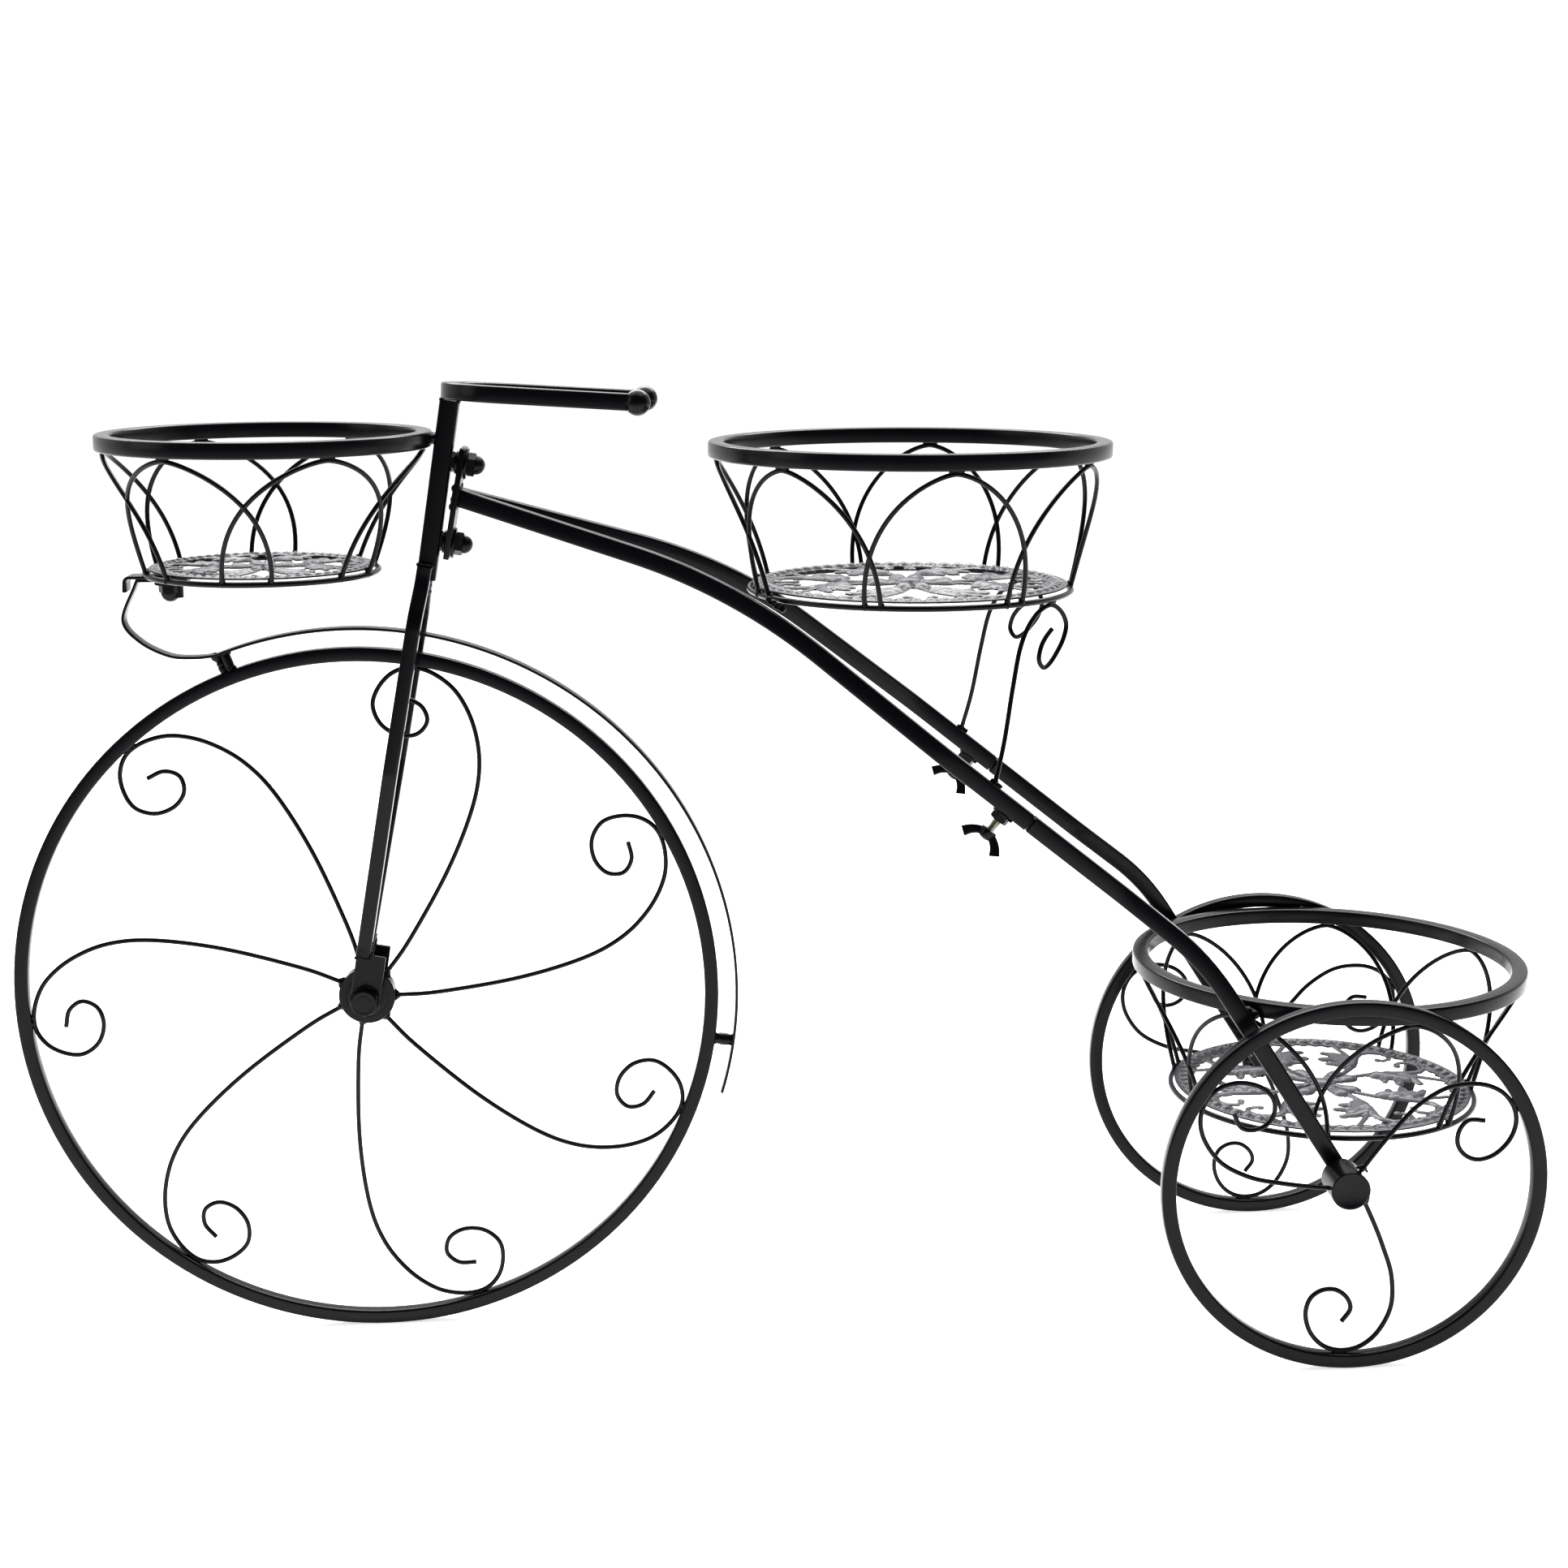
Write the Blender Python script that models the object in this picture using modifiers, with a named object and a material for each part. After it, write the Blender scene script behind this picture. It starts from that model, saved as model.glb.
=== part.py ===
"""Tricycle-shaped planter stand in black powder-coated steel, with three wire baskets.

Metres, +Z up, +X towards the two rear wheels. The three wheels stand on Z = 0.
Every place along X is measured from the front wheel's axle, which the root empty carries.
"""

import math

import bmesh
import bpy
from mathutils import Matrix, Vector

# Clearances
GAP = 0.0003                 # between pieces that touch or are welded
OVERRUN = 0.002              # how far a cutter runs past the face that it opens

# Wheels
FRONT_WHEEL_R = 0.200
REAR_WHEEL_R = 0.1035
WHEEL_TUBE = 0.0078
WHEELBASE = 0.534
FRONT_HUB_R = 0.0160
FRONT_DRUM_LENGTH = 0.0100
FRONT_BOSS_R = 0.0075
FRONT_HUB_LENGTH = 0.0204    # over both bosses
REAR_HUB_R = 0.0105
SPOKE_R = 0.0013
FRONT_SPOKES = 7
REAR_SPOKES = 3
FRONT_SPOKE_START = 131.2    # degrees, at a scroll's free end
REAR_SPOKE_START = 26.0

# Fork, post and handlebar
POST_SIDE = 0.0097
POST_RAKE = 9.0              # degrees back from upright
FORK_ANGLE = 11.36           # degrees back from upright, from the axle to the crown
CROWN_CLEARANCE = 0.0419     # from the wheel's top to the crown
POST_RISE = 0.0906           # from the crown to the post's top
POST_FOOT_DROP = 0.004       # the post runs this far below the crown
BLADE_SIDE = 0.0080
BLADE_RISE = 0.007           # the blades lap the post by this much above the crown
BLADE_ANGLE = 12.57          # degrees back from upright; the blades stand a little ahead of the axle's line
BLADE_SPREAD = 0.0218        # from the wheel's plane to a blade's middle, where the fork is widest
BLADE_SHOULDER_DROPS = (0.0080, 0.0255, 0.1100)    # below the crown: still on the post, widest, in again
BLADE_BEND_R = 0.0200
BLADE_FOOT_RISE = 0.0246     # above the axle
BLADE_ANKLE = 0.0060
AXLE_R = 0.0040
AXLE_HEAD_WIDTH = 0.0140
AXLE_HEAD_HEIGHT = 0.0055
AXLE_FLANGE_R = 0.0085
AXLE_FLANGE = 0.0012
DROPOUT_WIDTH = 0.0166
DROPOUT_THICK = 0.0025
DROPOUT_RISE = 0.0265
DROPOUT_DROP = 0.0090
BAR_SIDE = 0.0080
BAR_SLOPE = 6.0              # degrees, falling to the rear
BAR_BEND_R = 0.0360
BAR_CLEARANCE = 0.0432       # from the end of an arm to the middle basket's rim
BAR_FLARE = 0.0045           # how much wider each arm is at its end
BALL_R = 0.0064

# Fender
FENDER_CLEARANCE = 0.0105    # from the wheel's outside to the strap's middle
FENDER_WIDTH = 0.0090
FENDER_THICK = 0.0016
FENDER_REAR_ANGLE = -18.5
FENDER_FRONT_ANGLE = 109.5
STUB_R = 0.0028
STUB_ANGLES = {"fender_stub_front": 107.0, "fender_stub_rear": -10.0}

# Baskets: rim radius, foot radius and depth to the plate, and where each hangs
RIM_TUBE = 0.0083
BASKET_TILT = 2.0            # degrees, rear side lower
BASKET_WIRE_R = 0.0013
RING_WIRE_R = 0.0016          # the foot ring, a little thicker than the arches
ARCH_LEAN = 0.0004           # each arch passes this far in front of its neighbour and behind the other
PLATE_THICK = 0.0012
BASKETS = {
    "front": dict(rim_r=0.0905, foot_r=0.0650, depth=0.0713, arches=6, start=-24.0, spread=41.0,
                  plate_turn=10.0),
    "middle": dict(rim_r=0.1100, foot_r=0.0905, depth=0.0760, arches=7, start=8.0, spread=28.5,
                   plate_turn=0.0),
    "rear": dict(rim_r=0.1100, foot_r=0.0855, depth=0.0745, arches=7, start=11.0, spread=28.5,
                 plate_turn=36.0),
}
FRONT_BASKET_DROP = 0.0165   # from the post's top to the rim's middle
FRONT_BASKET_GAP = 0.0010    # between the rim and the post's face
MIDDLE_BASKET_AT_SHARE = 0.5908    # of the wheelbase, from the front axle
MIDDLE_BASKET_GAP = 0.0013   # between the foot ring and the tubes below it
REAR_BASKET_BACK = 0.0150    # behind the rear axle
REAR_BASKET_RISE = 0.0910    # above the rear axle

# Frame tubes
TUBE_SIDE = 0.0095
HEAD_SLOPE = 18.6            # degrees down, where the tubes leave the head plate
HEAD_SPREAD = 16.0           # degrees outwards there
BEND_1_R = 0.297
BEND_1_AT_SHARE = 0.4067     # of the wheelbase, from the front axle
BEND_2_R = 0.130
BEND_2_AHEAD = 0.0738        # of the rear axle
BEND_2_RISE = 0.1219         # above the rear axle
TUBE_Y_HEAD = 0.0056
TUBE_Y_JOINT = 0.0800
TUBE_Y_REAR = 0.0945
PARALLEL_FROM_SHARE = 0.4312    # the tubes run parallel over this stretch between the two bends
PARALLEL_TO_SHARE = 0.8263
JOINT_SHARE = 0.6226         # where the sleeve joint lies on the same stretch
FLARED_AHEAD = 0.0560        # of the rear axle
PLAN_BEND_R = 0.040
JOINT_SLOT = 0.0015          # daylight between the front and the rear tube
TUBE_WALL = 0.0011
TUBE_TAIL = 0.0060           # how far a tube runs past the rear axle
SLEEVE_LENGTH = 0.044
SLEEVE_BORE_EXTRA = 0.003

# Head plate and its two studs
HEAD_PLATE_OFFSET = 0.0144   # from the post's centre line to the plate's middle
HEAD_PLATE_WIDTH = 0.0230
HEAD_PLATE_THICK = 0.0030
HEAD_PLATE_DROP = 0.0235     # from the post's top to the plate's top
HEAD_PLATE_RISE = 0.0071     # from the crown to the plate's foot
STUD_R = 0.0030
STUD_COLLAR_R = 0.0060
STUD_INSET = 0.0085          # from the plate's top and foot
NUT_WIDTH = 0.0110
NUT_HEIGHT = 0.0050
WASHER_R = 0.0085
WASHER_THICK = 0.0014
DOME_R = 0.0052
STUD_TAIL = 0.0085           # how far the stud runs past the head plate

# Bracket under the front basket
BRACKET_WIDTH = 0.0140
BRACKET_THICK = 0.0018
BRACKET_AHEAD = 0.0150       # of the basket's foot
BRACKET_LAP = 0.0410         # under the basket's foot
BRACKET_LIP = 0.0080
BRACKET_BEND_R = 0.0030
BRACKET_BOLT_INSET = 0.0095  # from the basket's foot

# Legs under the middle basket
LEG_WIRE_R = 0.0013
LEG_FOOT_BACK = 0.0235       # along the tube, from the joint to the foot
LEG_RING_BEARING = 34.9      # degrees round the foot ring from its rear, to where a leg meets it
LEG_RING_INSET = 0.0020      # from the foot ring's line to a leg's top, measured inwards

# Thumb screws
SCREW_R = 0.0025
SCREW_NUT_WIDTH = 0.0090
SCREW_NUT_HEIGHT = 0.0045
SCREW_BACK = 0.0143          # along the tube, from the joint to the screw
SCREW_REACH = 0.0065         # thread showing between the nut and the wings
WING_HUB_R = 0.0042
WING_HUB_HEIGHT = 0.0050
WING_LENGTH = 0.0125
WING_WIDTH = 0.0060
WING_THICK = 0.0022
WING_SWEEP = 38.0            # degrees back from square to the screw
WING_ROLL = 20.0             # how far the wings are turned about the screw

# Outline tables, as shares of the named sizes that they follow.
# A spoke runs from the hub (0) to the rim's inner face (1); the angle is in degrees from its free end.
FRONT_SPOKE_SHARES = [
    (0.000, -33.5), (0.140, -30.0), (0.400, -26.0), (0.619, -23.0), (0.760, -19.4), (0.870, -14.6),
    (0.950, -9.4), (0.990, -4.6), (1.000, -0.6), (0.975, 2.6), (0.925, 4.9), (0.865, 5.9),
    (0.806, 4.2), (0.777, 0.4), (0.790, -3.4), (0.838, -4.9), (0.882, -3.2), (0.900, 0.0),
]
REAR_SPOKE_SHARES = [
    (0.000, 38.0), (0.180, 31.5), (0.340, 29.0), (0.540, 26.4), (0.740, 21.2), (0.890, 14.0),
    (0.975, 7.2), (1.000, 0.5), (0.975, -5.6), (0.900, -11.0), (0.790, -15.0), (0.680, -15.6),
    (0.605, -11.6), (0.585, -4.6), (0.635, 1.6), (0.715, 3.4), (0.800, 0.0),
]
FRONT_SPOKE_STEPS = 20
REAR_SPOKE_STEPS = 17
# The front end of the fender, as shares of the fender's radius from the front axle.
FENDER_CURL_SHARES = [(-0.3900, 0.9400), (-0.4550, 0.9480), (-0.5150, 0.9850), (-0.5530, 1.0450)]
# A leg from its foot to the ring and round its loop: shares of its lean and of its height, from its top.
LEG_SHARES = [
    (-1.000, -1.000), (-0.829, -0.760), (-0.667, -0.450), (-0.514, -0.210), (-0.286, -0.060), (0.000, 0.000),
    (0.200, -0.045), (0.297, -0.130), (0.244, -0.215), (0.124, -0.290), (-0.010, -0.350), (-0.124, -0.368),
    (-0.200, -0.318), (-0.162, -0.245), (-0.076, -0.190), (0.038, -0.145),
]
# The plate's openings in one quarter, as shares of its radius and degrees from the quarter's middle.
PLATE_QUARTERS = 4
PLATE_SCROLL_SHARES = [
    (0.33, -6.0), (0.33, 6.0), (0.46, 8.0), (0.58, 13.5), (0.70, 15.0), (0.79, 11.0), (0.70, 7.5),
    (0.66, 0.0), (0.70, -7.5), (0.79, -11.0), (0.70, -15.0), (0.58, -13.5), (0.46, -8.0),
]
PLATE_INNER_SHARES = [
    (0.27, 45.0), (0.30, 32.0), (0.34, 21.0), (0.43, 18.0), (0.46, 31.0), (0.54, 43.0), (0.54, 47.0),
    (0.46, 59.0), (0.43, 72.0), (0.34, 69.0), (0.30, 58.0),
]
PLATE_OUTER_SHARES = [
    (0.60, 45.0), (0.66, 41.0), (0.80, 39.0), (0.855, 38.5), (0.86, 45.0), (0.855, 51.5), (0.80, 51.0),
    (0.66, 49.0),
]
PLATE_SIDE_SHARES = [(0.73, 24.5), (0.84, 20.0), (0.855, 29.0), (0.78, 28.5)]
PLATE_OPPOSITE_SHARES = [(0.73, -24.5), (0.78, -28.5), (0.855, -29.0), (0.84, -20.0)]
PLATE_STEPS = 40
ARCH_POWER = 0.65            # an arch's outline: 0.5 is round, above that pointed
ARCH_STEPS = 5
RING_STEPS = 48
CAGE_STEPS = 28


def clear_scene():
    for obj in list(bpy.data.objects):
        bpy.data.objects.remove(obj, do_unlink=True)


clear_scene()
model = bpy.data.collections.new("bicycle_planter")
guides = bpy.data.collections.new("cutters")
bpy.context.scene.collection.children.link(model)
bpy.context.scene.collection.children.link(guides)
guides.hide_render = True

root = bpy.data.objects.new("planter_root", None)
model.objects.link(root)
rear_reach = max(REAR_WHEEL_R, REAR_BASKET_BACK + BASKETS["rear"]["rim_r"]) + WHEELBASE
root.location.x = (FRONT_WHEEL_R - rear_reach) / 2


def material(name, colour, roughness, metallic):
    made = bpy.data.materials.new(name)
    made.use_nodes = True
    shader = made.node_tree.nodes["Principled BSDF"]
    shader.inputs["Base Color"].default_value = (*colour, 1.0)
    shader.inputs["Roughness"].default_value = roughness
    shader.inputs["Metallic"].default_value = metallic
    return made


BLACK = material("black_powder_coat", (0.012, 0.011, 0.014), 0.42, 0.0)
PLATE = material("dark_stamped_plate", (0.045, 0.043, 0.048), 0.34, 0.35)
ZINC = material("zinc_thread", (0.62, 0.62, 0.60), 0.30, 1.0)


def finish(obj, paint, origin=None, smooth=40.0):
    """Put a finished object in the model, with its origin at the given place."""
    if origin is not None:
        obj.data.transform(Matrix.Translation(-(obj.matrix_basis.inverted() @ Vector(origin))))
        obj.matrix_basis = Matrix.Translation(Vector(origin)) @ obj.matrix_basis.to_3x3().to_4x4()
    obj.data.materials.clear()
    obj.data.materials.append(paint)
    obj.data.shade_smooth()
    obj.data.set_sharp_from_angle(angle=math.radians(smooth))
    for holder in list(obj.users_collection):
        holder.objects.unlink(obj)
    model.objects.link(obj)
    obj.hide_render = False
    obj.display_type = "TEXTURED"
    obj.parent = root
    return obj


def helper(name, data):
    obj = bpy.data.objects.new(name, data)
    guides.objects.link(obj)
    obj.hide_render = True
    obj.display_type = "WIRE"
    return obj


def baked(obj, name):
    """Replace an object by a mesh object that holds what its modifiers or its curve make."""
    bpy.context.view_layer.update()
    graph = bpy.context.evaluated_depsgraph_get()
    mesh = bpy.data.meshes.new_from_object(obj.evaluated_get(graph))
    place = obj.matrix_world.copy()
    bpy.data.objects.remove(obj, do_unlink=True)
    shape = bmesh.new()
    shape.from_mesh(mesh)
    bmesh.ops.remove_doubles(shape, verts=shape.verts, dist=GAP / 30)
    bmesh.ops.recalc_face_normals(shape, faces=shape.faces)
    shape.to_mesh(mesh)
    shape.free()
    made = helper(name, mesh)
    made.matrix_world = place
    return made


def poly_curve(name, points, cyclic=False):
    curve = bpy.data.curves.new(name, "CURVE")
    curve.dimensions = "3D"
    spline = curve.splines.new("POLY")
    spline.points.add(len(points) - 1)
    for point, place in zip(spline.points, points):
        point.co = (*place, 1.0)
    spline.use_cyclic_u = cyclic
    return curve


def wire(name, points, radius, sides_step=1):
    """A round wire along the points, with closed ends."""
    curve = poly_curve(name, points)
    curve.bevel_depth = radius
    curve.bevel_resolution = sides_step
    curve.use_fill_caps = True
    return baked(helper(name, curve), name)


def strip(name, points, width, thickness, across=Vector((0, 1, 0))):
    """A rectangular bar along the points: its width lies along `across`, its thickness square to that."""
    points = [Vector(p) for p in points]
    shape = bmesh.new()
    rings = []
    for i, point in enumerate(points):
        runs = [(points[j + 1] - points[j]).normalized() for j in (i - 1, i) if 0 <= j < len(points) - 1]
        ahead = sum(runs, Vector()).normalized()
        mitre = ahead.dot(runs[0])
        out = across.cross(ahead).normalized() * (thickness / 2 / mitre)
        over = ahead.cross(out).normalized() * (width / 2)
        rings.append([shape.verts.new(point + out * u + over * v)
                      for u, v in ((-1, -1), (1, -1), (1, 1), (-1, 1))])
    for one, two in zip(rings, rings[1:]):
        for k in range(4):
            shape.faces.new((one[k], one[(k + 1) % 4], two[(k + 1) % 4], two[k]))
    shape.faces.new(rings[0])
    shape.faces.new(rings[-1])
    bmesh.ops.recalc_face_normals(shape, faces=shape.faces)
    mesh = bpy.data.meshes.new(name)
    shape.to_mesh(mesh)
    shape.free()
    return helper(name, mesh)


def turned(name, profile, steps):
    """A solid turned about Z from a profile of (radius, height), listed down its outer side."""
    mesh = bpy.data.meshes.new(name)
    mesh.from_pydata([(r, 0, z) for r, z in profile], [(i, i + 1) for i in range(len(profile) - 1)], [])
    obj = helper(name, mesh)
    screw = obj.modifiers.new("Screw", "SCREW")
    screw.steps = screw.render_steps = steps
    screw.use_merge_vertices = True
    screw.merge_threshold = GAP / 30
    return baked(obj, name)


def square_ring(name, radius, side, height=None, steps=RING_STEPS):
    """A ring of square tube about Z; radius is its outer radius."""
    half = (height or side) / 2
    corners = [(radius, half), (radius, -half), (radius - side, -half), (radius - side, half), (radius, half)]
    return turned(name, corners, steps)


def block(name, size, place=(0, 0, 0), turn=(0, 0, 0)):
    mesh = bpy.data.meshes.new(name)
    shape = bmesh.new()
    bmesh.ops.create_cube(shape, size=1.0)
    bmesh.ops.scale(shape, vec=size, verts=shape.verts)
    shape.to_mesh(mesh)
    shape.free()
    obj = helper(name, mesh)
    obj.rotation_euler = turn
    obj.location = place
    return obj


def prism(name, sides, radius, height, turn=0.0):
    """A regular prism about Z that stands on Z = 0."""
    mesh = bpy.data.meshes.new(name)
    shape = bmesh.new()
    bmesh.ops.create_cone(shape, cap_ends=True, segments=sides, radius1=radius, radius2=radius, depth=height)
    bmesh.ops.rotate(shape, verts=shape.verts, cent=(0, 0, 0), matrix=Matrix.Rotation(turn, 3, "Z"))
    bmesh.ops.translate(shape, verts=shape.verts, vec=(0, 0, height / 2))
    shape.to_mesh(mesh)
    shape.free()
    return helper(name, mesh)


def combined(name, base, others, operation):
    """The base with the others joined to it or cut from it, as one mesh; the others are used up."""
    for other in others:
        change = base.modifiers.new(operation, "BOOLEAN")
        change.operation = operation
        change.solver = "EXACT"
        change.object = other
    made = baked(base, name)
    for other in others:
        bpy.data.objects.remove(other, do_unlink=True)
    return made


def turn_to(direction, away=Vector((0, 1, 0))):
    """A rotation that carries Z to the direction and keeps Y near the given vector."""
    z = Vector(direction).normalized()
    x = away.cross(z).normalized()
    return Matrix((x, z.cross(x), z)).transposed().to_4x4()


def put(obj, place, direction=(0, 0, 1), away=Vector((0, 1, 0))):
    obj.matrix_world = Matrix.Translation(Vector(place)) @ turn_to(direction, away)
    return obj


def smooth_through(points, steps):
    """Points along a curve that passes through the given ones, evenly spaced in its parameter."""
    points = [Vector(p) for p in points]
    ends = [2 * points[0] - points[1], *points, 2 * points[-1] - points[-2]]
    made = []
    for step in range(steps + 1):
        place = step * (len(points) - 1) / steps
        i = min(int(place), len(points) - 2)
        t = place - i
        a, b, c, d = ends[i:i + 4]
        made.append(0.5 * (2 * b + t * (c - a) + t * t * (2 * a - 5 * b + 4 * c - d)
                           + t ** 3 * (3 * b - a - 3 * c + d)))
    return made


def filleted(corners, radii, steps=7):
    """A path through the corners, with an arc of the given radius at each inner one."""
    corners = [Vector(c) for c in corners]
    path = [corners[0]]
    for i, radius in enumerate(radii, start=1):
        back = (corners[i - 1] - corners[i]).normalized()
        ahead = (corners[i + 1] - corners[i]).normalized()
        half = back.angle(ahead) / 2
        centre = corners[i] + (back + ahead).normalized() * radius / math.sin(half)
        first = (corners[i] + back * radius / math.tan(half) - centre).normalized()
        last = (corners[i] + ahead * radius / math.tan(half) - centre).normalized()
        path += [centre + radius * first.slerp(last, step / steps) for step in range(steps + 1)]
    path.append(corners[-1])
    return path


def polar(radius, degrees, y=0.0, centre_x=0.0, centre_z=0.0):
    angle = math.radians(degrees)
    return Vector((centre_x + radius * math.cos(angle), y, centre_z + radius * math.sin(angle)))


def along(start, end, share):
    return start + (end - start) * share


# Front wheel: a welded ring, a bored drum with a boss each side, and seven scroll spokes, in the plane Y = 0
front_axle = Vector((0, 0, FRONT_WHEEL_R))


def wheel_ring(name, radius, centre):
    ring = square_ring(name, radius, WHEEL_TUBE)
    return finish(put(ring, centre, (0, 1, 0), Vector((1, 0, 0))), BLACK)


def spokes(prefix, count, start, shares, hub_r, wheel_r, centre, steps):
    inner = hub_r + GAP + SPOKE_R
    outer = (wheel_r - WHEEL_TUBE) * math.cos(math.pi / RING_STEPS) - GAP - SPOKE_R
    for number in range(count):
        turn = start - number * 360 / count
        route = [polar(along(inner, outer, share), turn + angle, centre.y, centre.x, centre.z)
                 for share, angle in shares]
        spoke = wire(f"{prefix}_{number + 1}", smooth_through(route, steps), SPOKE_R)
        finish(spoke, BLACK, origin=centre)


wheel_ring("front_wheel_rim", FRONT_WHEEL_R, front_axle)
hub_half = FRONT_HUB_LENGTH / 2
hub_bore_r = AXLE_R + GAP
drum_half = FRONT_DRUM_LENGTH / 2
hub = turned("front_hub", [(FRONT_BOSS_R, hub_half), (FRONT_BOSS_R, drum_half), (FRONT_HUB_R, drum_half),
                           (FRONT_HUB_R, -drum_half), (FRONT_BOSS_R, -drum_half), (FRONT_BOSS_R, -hub_half),
                           (hub_bore_r, -hub_half), (hub_bore_r, hub_half), (FRONT_BOSS_R, hub_half)], 28)
finish(put(hub, front_axle, (0, 1, 0), Vector((1, 0, 0))), BLACK)
spokes("front_spoke", FRONT_SPOKES, FRONT_SPOKE_START, FRONT_SPOKE_SHARES, FRONT_HUB_R, FRONT_WHEEL_R,
       front_axle, FRONT_SPOKE_STEPS)

# Axle bolt from the near side, its flange and hexagon outside the dropouts, and a nut beyond
dropout_y = hub_half + GAP + DROPOUT_THICK / 2
dropout_outside = dropout_y + DROPOUT_THICK / 2
hex_corner = AXLE_HEAD_WIDTH / 2 / math.cos(math.radians(30))
bolt_end = dropout_outside + GAP + AXLE_FLANGE + AXLE_HEAD_HEIGHT
bolt = prism("axle_bolt", 6, hex_corner, AXLE_HEAD_HEIGHT)
flange = prism("flange", 20, AXLE_FLANGE_R, AXLE_FLANGE)
flange.location.z = AXLE_HEAD_HEIGHT - GAP / 3
shank = prism("shank", 14, AXLE_R, bolt_end + dropout_outside + GAP)
shank.location.z = AXLE_HEAD_HEIGHT / 2
bolt = combined("axle_bolt", bolt, [flange, shank], "UNION")
finish(put(bolt, (0, -bolt_end, FRONT_WHEEL_R), (0, 1, 0), Vector((1, 0, 0))), BLACK)
nut = prism("axle_nut", 6, hex_corner, AXLE_HEAD_HEIGHT)
nut_bore = prism("nut_bore", 14, AXLE_R + GAP, AXLE_HEAD_HEIGHT + 2 * OVERRUN)
nut_bore.location.z = -OVERRUN
nut = combined("axle_nut", nut, [nut_bore], "DIFFERENCE")
finish(put(nut, (0, dropout_outside + GAP, FRONT_WHEEL_R), (0, 1, 0), Vector((1, 0, 0))), BLACK)

# Steering post, fork blades and dropouts
rake = math.radians(POST_RAKE)
post_line = Vector((math.sin(rake), 0, math.cos(rake)))
crown_rise = FRONT_WHEEL_R + CROWN_CLEARANCE
crown = front_axle + Vector((crown_rise * math.tan(math.radians(FORK_ANGLE)), 0, crown_rise))


def on_post(z):
    """The point of the post's centre line at a height."""
    return crown + post_line * ((z - crown.z) / post_line.z)


post_foot = on_post(crown.z - POST_FOOT_DROP)
post_top = on_post(crown.z + POST_RISE)

blade_y = dropout_outside - BLADE_SIDE / 2
blade_top_y = POST_SIDE / 2 + GAP + BLADE_SIDE / 2
fork_line = (crown - front_axle).normalized()
blade_lean = math.radians(BLADE_ANGLE)
blade_line = Vector((math.sin(blade_lean), 0, math.cos(blade_lean)))
blade_back = Vector((blade_line.z, 0, -blade_line.x))
foot_drop = CROWN_CLEARANCE + FRONT_WHEEL_R - BLADE_FOOT_RISE
still_on, widest, in_again = BLADE_SHOULDER_DROPS
for side, name in ((-1, "left"), (1, "right")):
    places = ((-BLADE_RISE, blade_top_y), (still_on, blade_top_y), (widest, BLADE_SPREAD),
              (in_again, BLADE_SPREAD), (foot_drop - BLADE_ANKLE, blade_y), (foot_drop, blade_y))
    corners = [crown - blade_line * (drop / blade_line.z) + Vector((0, side * y, 0)) for drop, y in places]
    foot = corners[-1]
    route = filleted(corners, [BLADE_BEND_R] * 4, 3)
    blade = strip(f"fork_blade_{name}", route, BLADE_SIDE, BLADE_SIDE, blade_back)
    finish(blade, BLACK, origin=foot)
    plate = block("dropout", (DROPOUT_WIDTH, DROPOUT_THICK, DROPOUT_RISE + DROPOUT_DROP))
    put(plate, front_axle + fork_line * ((DROPOUT_RISE - DROPOUT_DROP) / 2), fork_line)
    plate.location.y = side * dropout_y
    hole = prism("hole", 14, AXLE_R + GAP, DROPOUT_THICK + 2 * OVERRUN)
    put(hole, (0, side * dropout_y - DROPOUT_THICK / 2 - OVERRUN, FRONT_WHEEL_R), (0, 1, 0), Vector((1, 0, 0)))
    notch = block("notch", (DROPOUT_WIDTH, DROPOUT_THICK + 2 * OVERRUN, DROPOUT_RISE))
    notch_back = BLADE_SIDE / 2 + GAP - DROPOUT_WIDTH / 2
    put(notch, foot + blade_back * notch_back + blade_line * (DROPOUT_RISE / 2 - GAP), blade_line)
    notch.location.y = side * dropout_y
    plate = combined(f"dropout_{name}", plate, [hole, notch], "DIFFERENCE")
    finish(plate, BLACK, origin=(0, side * dropout_y, FRONT_WHEEL_R))

# Where the frame tubes and the three baskets run: the tubes in side view and in plan, the baskets by
# the middles of their rims
head_top = post_top.z - HEAD_PLATE_DROP
head_foot = crown.z + HEAD_PLATE_RISE
head_middle = (head_top + head_foot) / 2
head_corner = TUBE_SIDE / 2 * (math.sin(math.radians(HEAD_SLOPE) - rake) + math.sin(math.radians(HEAD_SPREAD)))
head_reach = HEAD_PLATE_OFFSET + HEAD_PLATE_THICK / 2 + GAP + head_corner
head_x = on_post(head_middle).x + head_reach / math.cos(rake)
rear_axle = Vector((WHEELBASE, 0, REAR_WHEEL_R))
bend_1_x = WHEELBASE * BEND_1_AT_SHARE
bend_1 = Vector((bend_1_x, 0, head_middle - (bend_1_x - head_x) * math.tan(math.radians(HEAD_SLOPE))))
bend_2 = rear_axle + Vector((-BEND_2_AHEAD, 0, BEND_2_RISE))
down_tube = (bend_2 - bend_1).normalized()
off_tube = Vector((down_tube.z, 0, -down_tube.x))
tube_end = rear_axle + (rear_axle - bend_2).normalized() * TUBE_TAIL
side_view = filleted([(head_x, 0, head_middle), bend_1, bend_2, tube_end], [BEND_1_R, BEND_2_R], 9)
plan_view = filleted([(head_x, TUBE_Y_HEAD, 0),
                      (along(bend_1.x, bend_2.x, PARALLEL_FROM_SHARE), TUBE_Y_JOINT, 0),
                      (along(bend_1.x, bend_2.x, PARALLEL_TO_SHARE), TUBE_Y_JOINT, 0),
                      (WHEELBASE - FLARED_AHEAD, TUBE_Y_REAR, 0), (tube_end.x, TUBE_Y_REAR, 0)],
                     [PLAN_BEND_R] * 3, 4)


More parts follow.
